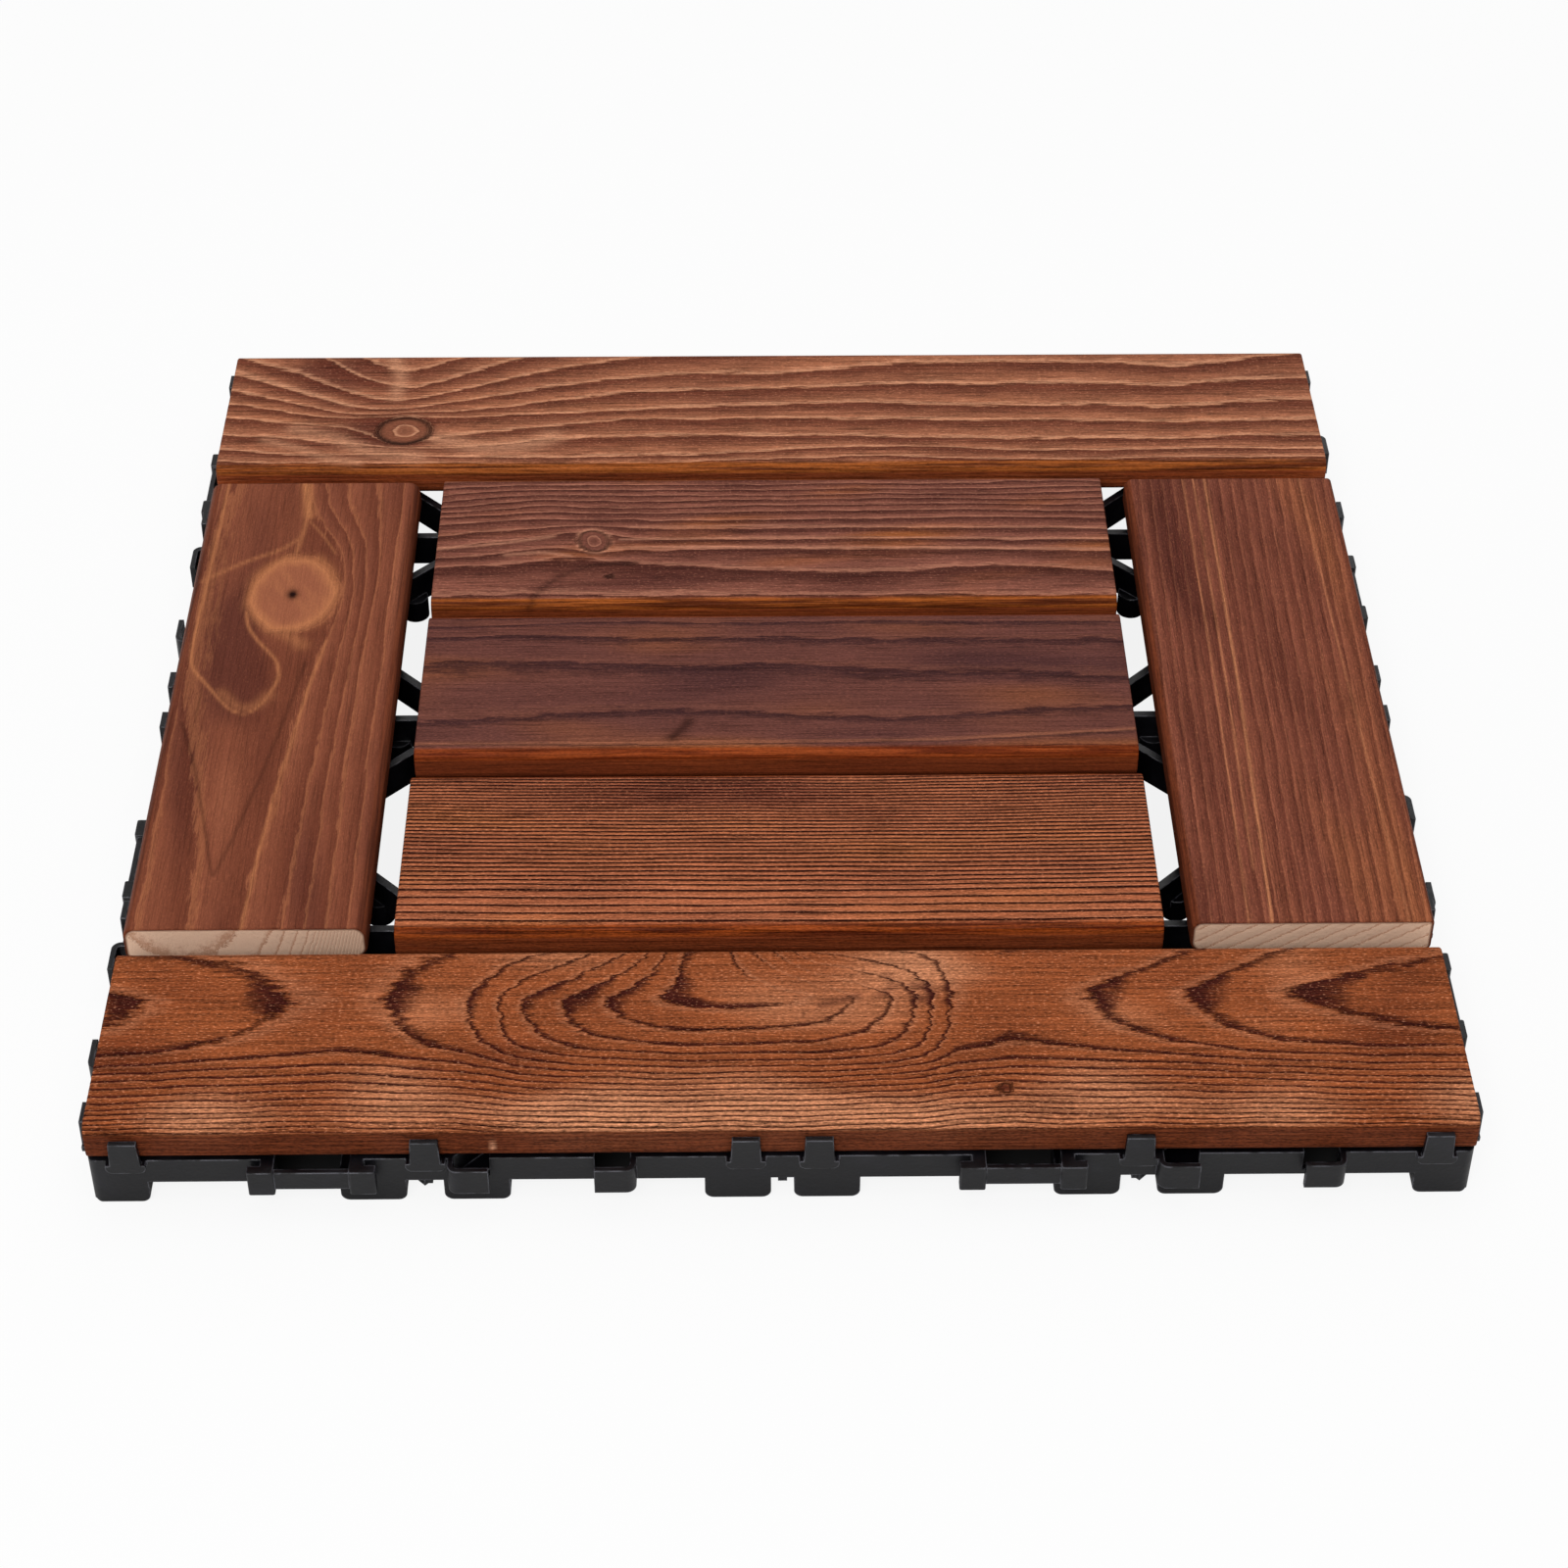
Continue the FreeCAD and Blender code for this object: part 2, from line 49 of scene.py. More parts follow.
def tint(red, green, blue):
    # A screen colour, 0 to 255, as the linear colour that a shader takes
    shares = [channel / 255 for channel in (red, green, blue)]
    return tuple(s / 12.92 if s < 0.04045 else ((s + 0.055) / 1.055) ** 2.4 for s in shares)


class Wire:
    # A node's output that takes part in plain arithmetic
    def __init__(self, graph, socket):
        self.graph = graph
        self.socket = socket

    def work(self, operation, *others):
        inputs = {index: value for index, value in enumerate((self,) + others)}
        return self.graph.add("Math", inputs, operation=operation)

    def __add__(self, other):
        return self.work("ADD", other)

    def __sub__(self, other):
        return self.work("SUBTRACT", other)

    def __mul__(self, other):
        return self.work("MULTIPLY", other)

    def __rsub__(self, other):
        return self.graph.add("Math", {0: other, 1: self}, operation="SUBTRACT")

    __radd__ = __add__
    __rmul__ = __mul__


class Graph:
    def __init__(self, name):
        self.material = bpy.data.materials.new(name)
        self.material.use_nodes = True
        self.tree = self.material.node_tree
        self.shader = self.tree.nodes["Principled BSDF"]

    def feed(self, socket, value):
        if isinstance(value, Wire):
            self.tree.links.new(value.socket, socket)
        elif socket.type == "RGBA" and len(value) == 3:
            socket.default_value = tuple(value) + (1.0,)
        else:
            socket.default_value = value

    def add(self, kind, inputs=None, output=0, **settings):
        node = self.tree.nodes.new("ShaderNode" + kind)
        for key, value in settings.items():
            setattr(node, key, value)
        for key, value in (inputs or {}).items():
            self.feed(node.inputs[key], value)
        return Wire(self, node.outputs[output])

    def shade(self, inputs):
        for key, value in inputs.items():
            self.feed(self.shader.inputs[key], value)

    def mix(self, first, second, factor):
        return self.add("Mix", {0: factor, 6: first, 7: second}, 2, data_type="RGBA")

    def ease(self, value, low, high, start=0.0, end=1.0):
        inputs = {"Value": value, "From Min": low, "From Max": high, "To Min": start, "To Max": end}
        return self.add("MapRange", inputs, interpolation_type="SMOOTHSTEP")

    def noise(self, vector, scales, detail=2.0):
        spread = self.add("VectorMath", {0: vector, 1: scales}, operation="MULTIPLY")
        return self.add("TexNoise", {"Vector": spread, "Scale": 1.0, "Detail": detail})

    def channels(self, name):
        vector = self.add("Attribute", output="Vector", attribute_name=name)
        return vector, [self.add("SeparateXYZ", {0: vector}, index) for index in range(3)]


# Camera: the view of the photograph, found from the tile's corners and edges
view = {
    "target": Vector((0.0016, -0.038, 0.0228)),
    "distance": 0.798,
    "elevation": 40.5,
    "yaw": -0.79,
    "roll": 0.165,
    "focal": 3400.0,
    "imageSide": 1600.0,
    "sensor": 36.0,
}


def makeCamera():
    elevation = math.radians(view["elevation"])
    yaw = math.radians(view["yaw"])
    back = Vector((
        math.sin(yaw) * math.cos(elevation),
        -math.cos(yaw) * math.cos(elevation),
        math.sin(elevation),
    ))
    data = bpy.data.cameras.new("photoCamera")
    data.sensor_width = view["sensor"]
    data.lens = view["focal"] / view["imageSide"] * view["sensor"]
    data.clip_start = 0.01
    camera = bpy.data.objects.new("photoCamera", data)
    bpy.context.scene.collection.objects.link(camera)
    camera.location = view["target"] + back * view["distance"]
    camera.rotation_mode = "QUATERNION"
    roll = Quaternion(back, math.radians(view["roll"]))
    camera.rotation_quaternion = roll @ back.to_track_quat("Z", "Y")
    bpy.context.scene.camera = camera


# Studio: white floor and surroundings, wide lights above, behind and in front.
# The floor carries a painted shadow under the tile, dark along its walls, and is clear when seen from
# below. Metres.
studio = {
    "floorSide": 12.0,
    "floorGlow": 0.88,
    "floorColour": (0.9, 0.9, 0.9),
    # Painted shadow: the dark colour the floor takes under the tile.
    "paintedShadowColour": (0.03, 0.03, 0.03),
    "underWall": (0.118, 0.1434),
    "underFades": (0.002, 0.0004),
    "skyStrength": 0.4,
    "aim": (0.0, 0.0, 0.02),
    "lights": [
        {"name": "topLight", "place": (0.0, 0.1, 1.5), "side": 1.4, "watts": 6.5},
        {"name": "backLight", "place": (0.2, 1.5, 1.1), "side": 1.2, "watts": 3.5},
        {"name": "frontLight", "place": (-0.35, -1.3, 1.35), "side": 0.8, "watts": 14.0},
    ],
}


def makeStudio():
    scene = bpy.context.scene
    scene.view_settings.view_transform = "Standard"
    world = bpy.data.worlds.new("studioSky")
    world.use_nodes = True
    scene.world = world
    tree = world.node_tree
    sky = tree.nodes["Background"]
    sky.inputs["Strength"].default_value = studio["skyStrength"]
    sky.inputs["Color"].default_value = white + (1.0,)
    seen = tree.nodes.new("ShaderNodeBackground")
    path = tree.nodes.new("ShaderNodeLightPath")
    choice = tree.nodes.new("ShaderNodeMixShader")
    tree.links.new(path.outputs["Is Camera Ray"], choice.inputs[0])
    tree.links.new(sky.outputs[0], choice.inputs[1])
    tree.links.new(seen.outputs[0], choice.inputs[2])
    seen.inputs["Color"].default_value = white + (1.0,)
    tree.links.new(choice.outputs[0], tree.nodes["World Output"].inputs[0])

    half = studio["floorSide"] / 2
    mesh = bpy.data.meshes.new("floor")
    corners = [(-half, -half, 0), (half, -half, 0), (half, half, 0), (-half, half, 0)]
    mesh.from_pydata(corners, [], [(0, 1, 2, 3)])
    floor = bpy.data.objects.new("floor", mesh)
    scene.collection.objects.link(floor)
    graph = Graph("floorWhite")
    glow = graph.add("Emission", {"Color": white, "Strength": 1.0})
    spot = graph.add("TexCoord", output="Object")
    sides = [graph.add("SeparateXYZ", {0: spot}, axis).work("ABSOLUTE") for axis in (0, 1)]
    reach = sides[0].work("MAXIMUM", sides[1])
    near, far = studio["underWall"]
    innerFade, outerFade = studio["underFades"]
    # Painted shadow: under the tile the floor takes the dark colour, and along the walls it also loses its
    # glow, so it shows dark there.
    under = graph.ease(reach, far, far - outerFade)
    shaded = graph.ease(reach, near - innerFade, near) * under
    share = graph.add("LightPath", output="Is Camera Ray") * studio["floorGlow"] * (1 - shaded)
    ground = graph.mix(studio["floorColour"], studio["paintedShadowColour"], under)
    graph.shade({"Base Color": ground, "Roughness": 0.9, "Specular IOR Level": 0.0})
    surface = Wire(graph, graph.shader.outputs[0])
    blend = graph.add("MixShader", {0: share, 1: surface, 2: glow})
    below = graph.add("NewGeometry", output="Backfacing")
    blend = graph.add("MixShader", {0: below, 1: blend, 2: graph.add("BsdfTransparent")})
    output = graph.tree.nodes["Material Output"]
    graph.tree.links.new(blend.socket, output.inputs["Surface"])
    mesh.materials.append(graph.material)

    for light in studio["lights"]:
        data = bpy.data.lights.new(light["name"], "AREA")
        data.size = light["side"]
        data.energy = light["watts"]
        lamp = bpy.data.objects.new(light["name"], data)
        scene.collection.objects.link(lamp)
        lamp.location = light["place"]
        aim = Vector(light["place"]) - Vector(studio["aim"])
        lamp.rotation_mode = "QUATERNION"
        lamp.rotation_quaternion = aim.to_track_quat("Z", "Y")


# Wooden boards. Lengths are millimetres in the tile's frame: "along" runs with
# the board, "across" is the other level direction.
board = {
    "outerRound": 1.6,
    "innerRound": 3.0,
    "endEase": 0.5,
    "endSteps": 4,
    "outsideFrom": 140.0,
    "sideTurn": (0.75, 0.95),
    "alongStep": 1.1,
    "fineStep": 0.36,
    "coarseStep": 2.5,
    "capRings": 9,
    "lineBlur": 3.0,
    "lineSamples": 13,
    "strokeStep": 1.5,
}


def smoothLine(points, places):
    # A given line of (along, across) points, softened at its corners
    reach = 3 * board["lineBlur"]
    offsets = np.linspace(-reach, reach, board["lineSamples"])
    weights = np.exp(-0.5 * (offsets / board["lineBlur"]) ** 2)
    alongs, acrosses = np.array(points, float).T
    rows = [np.interp(places + offset, alongs, acrosses) for offset in offsets]
    return (np.array(rows) * weights[:, None]).sum(0) / weights.sum()


def ripple(along, across, seed, alongLength, acrossLength, count=7):
    # Smooth pseudo-random waves of about unit height
    dice = np.random.default_rng(seed)
    total = np.zeros(np.broadcast(along, across).shape)
    for _ in range(count):
        alongTurn = dice.normal() * 2 * math.pi / alongLength
        acrossTurn = dice.normal() * 2 * math.pi / acrossLength
        total += np.sin(along * alongTurn + across * acrossTurn + dice.uniform(0, 2 * math.pi))
    return total * math.sqrt(2 / count)


def softStep(value, low, high):
    share = np.clip((value - low) / (high - low), 0, 1)
    return share * share * (3 - 2 * share)


def strokeMask(along, across, points, width):
    # One on a given stroke of (along, across) points, fading to zero beside it
    path = np.array(points, float)
    lengths = np.hypot(*np.diff(path, axis=0).T)
    travel = np.concatenate([[0], np.cumsum(lengths)])
    dense = np.linspace(0, travel[-1], max(8, int(travel[-1] / board["strokeStep"])))
    dense = np.column_stack([np.interp(dense, travel, path[:, axis]) for axis in (0, 1)])
    for _ in range(3):
        dense[1:-1] = (dense[:-2] + 2 * dense[1:-1] + dense[2:]) / 4
    nearest = np.full(along.shape, 1e9)
    for start, end in zip(dense[:-1], dense[1:]):
        run = end - start
        share = ((along - start[0]) * run[0] + (across - start[1]) * run[1]) / (run @ run + 1e-9)
        share = np.clip(share, 0, 1)
        gap = (along - start[0] - share * run[0]) ** 2 + (across - start[1] - share * run[1]) ** 2
        nearest = np.minimum(nearest, gap)
    return np.exp(-nearest / (2 * width * width))


def guidedRings(lines, above, below):
    # Ring count between given lines, which run from the far side to the near one.
    # Beyond the first and last line the rings are evenly spaced.
    def rings(along, across):
        places, column = np.unique(np.round(along, 3), return_inverse=True)
        levels = np.array([smoothLine(line, places) for line in lines])
        count = np.zeros(along.shape)
        order = np.argsort(column, kind="stable")
        bounds = np.searchsorted(column[order], np.arange(len(places) + 1))
        for index in range(len(places)):
            members = order[bounds[index]:bounds[index + 1]]
            level = levels[:, index]
            far = np.concatenate([level[:1] + 30 * above, level, level[-1:] - 30 * below])
            marks = np.concatenate([[-30], np.arange(len(level)), [len(level) + 29]])
            count[members] = np.interp(across[members], far[::-1], marks[::-1])
        return count
    return rings


def sectionOutline(width, thickness, lowers, uppers):
    # Board section, walked from the middle of the underside round the low side,
    # over the top and back. Rows hold across, height, both normal parts and the
    # distance walked from the middle of the top.
    half = width / 2
    lowRound, highRound = lowers
    lowTop, highTop = uppers
    pieces = []

    def straight(start, end, normal, step):
        count = max(2, int(math.hypot(end[0] - start[0], end[1] - start[1]) / step))
        for share in np.arange(count) / count:
            across = start[0] + (end[0] - start[0]) * share
            height = start[1] + (end[1] - start[1]) * share
            pieces.append((across, height) + normal)

    def corner(centre, radius, first, step):
        count = max(3, int(radius * math.pi / 2 / step))
        for share in np.arange(count) / count:
            angle = first - share * math.pi / 2
            normal = (math.cos(angle), math.sin(angle))
            pieces.append((centre[0] + radius * normal[0], centre[1] + radius * normal[1]) + normal)

    fine, coarse = board["fineStep"], board["coarseStep"]
    straight((0, 0), (lowRound - half, 0), (0.0, -1.0), coarse)
    corner((lowRound - half, lowRound), lowRound, -math.pi / 2, fine)
    straight((-half, lowRound), (-half, thickness - lowTop), (-1.0, 0.0), fine)
    corner((lowTop - half, thickness - lowTop), lowTop, math.pi, fine)
    straight((lowTop - half, thickness), (half - highTop, thickness), (0.0, 1.0), fine)
    corner((half - highTop, thickness - highTop), highTop, math.pi / 2, fine)
    straight((half, thickness - highTop), (half, highRound), (1.0, 0.0), fine)
    corner((half - highRound, highRound), highRound, 0.0, fine)
    straight((half - highRound, 0), (0, 0), (0.0, -1.0), coarse)
    outline = np.array(pieces)
    steps = np.hypot(*np.diff(outline[:, :2], axis=0, append=outline[:1, :2]).T)
    walked = np.concatenate([[0], np.cumsum(steps)[:-1]])
    return np.column_stack([outline, walked - steps.sum() / 2])


def makeBoard(node, design):
    low, high = (np.array(corner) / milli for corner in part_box(node))
    middle = (low + high) / 2
    size = high - low
    alongAxis, acrossAxis = (0, 1) if size[0] > size[1] else (1, 0)
    length, width, thickness = size[alongAxis], size[acrossAxis], size[2]
    edge = max(abs(low[acrossAxis]), abs(high[acrossAxis]))
    lowers = [board["innerRound"], board["innerRound"]]
    uppers = [design["topRounds"][0], design["topRounds"][0]]
    if edge > board["outsideFrom"]:
        outer = 1 if middle[acrossAxis] > 0 else 0
        lowers[outer] = board["outerRound"]
        uppers[outer] = design["topRounds"][1]
    outline = sectionOutline(width, thickness, lowers, uppers)
    ease = board["endEase"]
    count = int(length / board["alongStep"])
    turns = np.linspace(0, math.pi / 2, board["endSteps"])
    inset = ease * (1 - np.sin(turns))
    shift = ease * (1 - np.cos(turns))
    runs = np.concatenate([
        -length / 2 + shift,
        np.linspace(-length / 2 + ease, length / 2 - ease, count)[1:-1],
        length / 2 - shift[::-1],
    ])
    insets = np.concatenate([inset, np.zeros(count - 2), inset[::-1]])

    # Skin: one copy of the outline at each run, drawn in at the eased ends
    across = outline[None, :, 0] - insets[:, None] * outline[None, :, 2]
    height = outline[None, :, 1] - insets[:, None] * outline[None, :, 3]
    along = np.repeat(runs[:, None], len(outline), 1)
    skin = np.repeat(outline[None, :, 4], len(runs), 0)
    normalAcross = np.repeat(outline[None, :, 2], len(runs), 0)
    normalUp = np.repeat(outline[None, :, 3], len(runs), 0)
    rows, ring = along.shape
    index = np.arange(rows * ring).reshape(rows, ring)
    after = np.roll(index, -1, 1)
    faces = [np.stack([index[:-1], after[:-1], after[1:], index[1:]], -1).reshape(-1, 4)]
    parts = {
        "along": [along.ravel()],
        "across": [across.ravel()],
        "height": [height.ravel()],
        "skin": [skin.ravel()],
        "normalAcross": [normalAcross.ravel()],
        "normalUp": [normalUp.ravel()],
        "end": [np.zeros(rows * ring)],
    }

    # Ends: rings that shrink to the section's middle line
    total = rows * ring
    spine = np.clip(outline[:, 0], -width / 2 + thickness / 2, width / 2 - thickness / 2)
    for row, run in ((0, -length / 2), (rows - 1, length / 2)):
        edgeIndex = index[row]
        for step in range(1, board["capRings"] + 1):
            share = step / board["capRings"]
            acrossRow = across[row] * (1 - share) + spine * share
            heightRow = height[row] * (1 - share) + thickness / 2 * share
            newIndex = total + np.arange(ring)
            total += ring
            parts["along"].append(np.full(ring, run))
            parts["across"].append(acrossRow)
            parts["height"].append(heightRow)
            parts["skin"].append(outline[:, 4])
            parts["normalAcross"].append(np.zeros(ring))
            parts["normalUp"].append(np.zeros(ring))
            parts["end"].append(np.ones(ring))
            nextEdge = np.roll(edgeIndex, -1)
            nextNew = np.roll(newIndex, -1)
            quads = np.stack([edgeIndex, newIndex, nextNew, nextEdge], -1)
            faces.append(quads if row == 0 else quads[:, ::-1])
            edgeIndex = newIndex
    values = {key: np.concatenate(rowsOf) for key, rowsOf in parts.items()}
    faces = np.concatenate(faces)

    # Grain: ring count, pale and dark marks, and slow changes of tone
    placeAlong = values["along"] + middle[alongAxis]
    skinAcross = np.clip(values["skin"], -width, width)
    grainAcross = np.where(values["end"] > 0, values["across"], skinAcross) + middle[acrossAxis]
    depth = thickness - values["height"]
    turned = 1 - values["normalUp"]
    # Painted light and shade: rounded edges get a lit orange colour and upright faces a shaded one, marked
    # by how far the surface turns from level.
    paintedEdge = softStep(turned, *design["paintedEdgeTurn"]) * (values["end"] < 0.5)
    marks = markGrain(design, placeAlong, grainAcross, depth, values["end"])
    lift = marks["relief"] * (values["end"] < 0.5) * (1 - paintedEdge)
    paintedEdge = paintedEdge + softStep(turned, *board["sideTurn"]) * (values["end"] < 0.5)
    values["across"] = values["across"] + lift * values["normalAcross"]
    values["height"] = values["height"] + lift * values["normalUp"]

    spots = np.zeros((total, 3))
    spots[:, alongAxis] = values["along"] + middle[alongAxis]
    spots[:, acrossAxis] = values["across"] + middle[acrossAxis]
    spots[:, 2] = values["height"] + low[2]
    if alongAxis == 1:
        faces = faces[:, ::-1]
    mesh = bpy.data.meshes.new(node + "_wood")
    mesh.vertices.add(total)
    mesh.vertices.foreach_set("co", (spots * milli).astype(np.float32).ravel())
    mesh.loops.add(faces.size)
    mesh.loops.foreach_set("vertex_index", faces.ravel().astype(np.int32))
    mesh.polygons.add(len(faces))
    mesh.polygons.foreach_set("loop_start", np.arange(0, faces.size, 4, dtype=np.int32))
    mesh.polygons.foreach_set("loop_total", np.full(len(faces), 4, dtype=np.int32))
    mesh.polygons.foreach_set("use_smooth", np.ones(len(faces), dtype=bool))
    mesh.update(calc_edges=True)
    mesh.validate()
    grainSpace = np.column_stack([placeAlong, grainAcross, depth])
    for name, columns in (
        ("grainSpace", grainSpace),
        ("grainMarks", np.column_stack([marks["ring"], marks["pale"], marks["dark"]])),
        ("grainTone", np.column_stack([marks["tone"], paintedEdge, values["end"]])),
        ("grainBand", np.column_stack([marks["calm"], marks["narrow"], marks["relief"]])),
    ):
        layer = mesh.attributes.new(name, "FLOAT_VECTOR", "POINT")
        layer.data.foreach_set("vector", columns.astype(np.float32).ravel())
    piece = bpy.data.objects.new(node + "_wood", mesh)
    bpy.context.scene.collection.objects.link(piece)
    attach(piece, "root")
    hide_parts(node)
    print(node, "built with", len(faces), "faces")
    return piece


# How the grain wanders: wave lengths along and across, and how knots, rings and
# crests fade
growth = {
    "longWave": (70, 25),
    "shortWave": (18, 9),
    "shortShare": 0.25,
    "toneWave": (90, 30),
    "knotWave": (13, 13, 5),
    "knotRipple": 0.025,
    "turnWave": (9, 7),
    "turnRipple": 0.05,
    "knotEdge": (0.90, 1.04),
    "rimAt": 0.93,
    "knotLate": 0.8,
    "crestRise": 0.12,
}


def markGrain(design, along, across, depth, end):
    # A board's rings, marks, tone and relief at the given places
    seed = design["seed"]
    wander = design["wander"]
    shifted = across + wander * ripple(along, across, seed, *growth["longWave"])
    wander = growth["shortShare"] * wander
    shifted = shifted + wander * ripple(along, across, seed + 1, *growth["shortWave"])
    slope, bow = design["endSlope"]
    side = across - (across.min() + across.max()) / 2
    inward = shifted + depth * slope + bow * side * side
    ring = design["rings"](along, np.where(end > 0.5, inward, shifted))
    ring = np.where(end > 0.5, ring * design["endCrowd"], ring)
    pale, dark, calm = (np.zeros(along.shape) for part in range(3))
    tone = design["toneSwing"] * ripple(along, across, seed + 2, *growth["toneWave"])
    for place, radii, amount in design["clouds"]:
        far = ((along - place[0]) / radii[0]) ** 2 + ((across - place[1]) / radii[1]) ** 2
        tone = tone + amount * np.exp(-far)
    for spot in design["knots"]:
        lean = math.radians(spot["lean"])
        right, up = along - spot["place"][0], across - spot["place"][1]
        runAlong = right * math.cos(lean) + up * math.sin(lean)
        runAcross = up * math.cos(lean) - right * math.sin(lean)
        far = np.hypot(runAlong / spot["radii"][0], runAcross / spot["radii"][1])
        far = far * (1 + growth["knotRipple"] * ripple(along, across, seed + 5, *growth["knotWave"]))
        inside = 1 - softStep(far, *growth["knotEdge"])
        turns = far * spot["rings"] + spot["start"]
        turns = turns + growth["turnRipple"] * ripple(along, across, seed + 6, *growth["turnWave"])
        ring = ring * (1 - inside) + turns * inside
        calm = np.maximum(calm, inside)
        rim = np.exp(-((far - growth["rimAt"]) / spot["rimWidth"]) ** 2)
        core = np.exp(-(far / spot["coreSize"]) ** 2)
        halo = np.exp(-((far - spot["haloAt"]) / spot["haloWidth"]) ** 2)
        dark = np.maximum(dark, np.maximum(rim * spot["rim"], core * spot["core"]))
        pale = np.maximum(pale, halo * spot["halo"])
        tone = tone * (1 - inside) + spot["tone"] * inside
    for line in design["strokes"]:
        mask = strokeMask(along, across, line["points"], line["width"]) * line["strength"]
        if line["pale"]:
            pale = np.maximum(pale, mask)
        else:
            dark = np.maximum(dark, mask)
    lateWidth = np.interp(across, *np.array(design["lateAt"]).T)
    for place, radii, amount in design["fades"]:
        far = ((along - place[0]) / radii[0]) ** 2 + ((across - place[1]) / radii[1]) ** 2
        lateWidth = lateWidth * (1 - amount * np.exp(-far * far))
    lateWidth = lateWidth + (growth["knotLate"] - lateWidth) * calm
    phase = ring - np.floor(ring)
    fall = softStep(phase / lateWidth, design["lateHold"], 1.0)
    crest = softStep(phase, 0.0, growth["crestRise"]) * (1 - fall)
    relief = design["relief"] * (crest - 0.5) * (1 - calm)
    return {
        "ring": ring, "pale": pale, "dark": dark, "tone": tone,
        "relief": relief, "calm": calm, "narrow": 1 / lateWidth,
    }


# The finish of all boards. A noise has its scales along, across and in depth, per
# millimetre, and its detail. A range says where a noise or mark sets in.
woodLook = {
    "fibre": ((0.03, 1.3, 1.3), 3.0),
    "hair": ((0.35, 4.2, 4.2), 2.0),
    "ragged": ((0.12, 0.8, 0.8), 3.0),
    "cloud": ((0.02, 0.09, 0.09), 1.0),
    "sand": ((1.1, 3.0, 3.0), 2.0),
    "scratch": ((0.06, 3.0, 3.0), 2.0),
    "streak": ((0.03, 0.75, 0.75), 2.0),
    "fleckRange": (0.60, 0.70),
    "scratchRange": (0.44, 0.34),
    "streakRange": (0.36, 0.60),
    "endLineRange": (0.30, 0.0),
    "endLineRise": 0.06,
    "knotStill": 0.6,
    "knotPlain": 0.55,
    "toneReach": 1.1,
    "toneShare": 0.8,
    "crestShare": 0.7,
    "crestEnd": 0.97,
    # The next two set how far the painted shade on upright faces and the painted light on rounded edges
    # cover the grain.
    "paintedGapShadeShare": 0.85,
    "paintedEdgeShare": 0.9,
    "greyShare": 1.3,
    "bumpDepth": 0.0003,
}


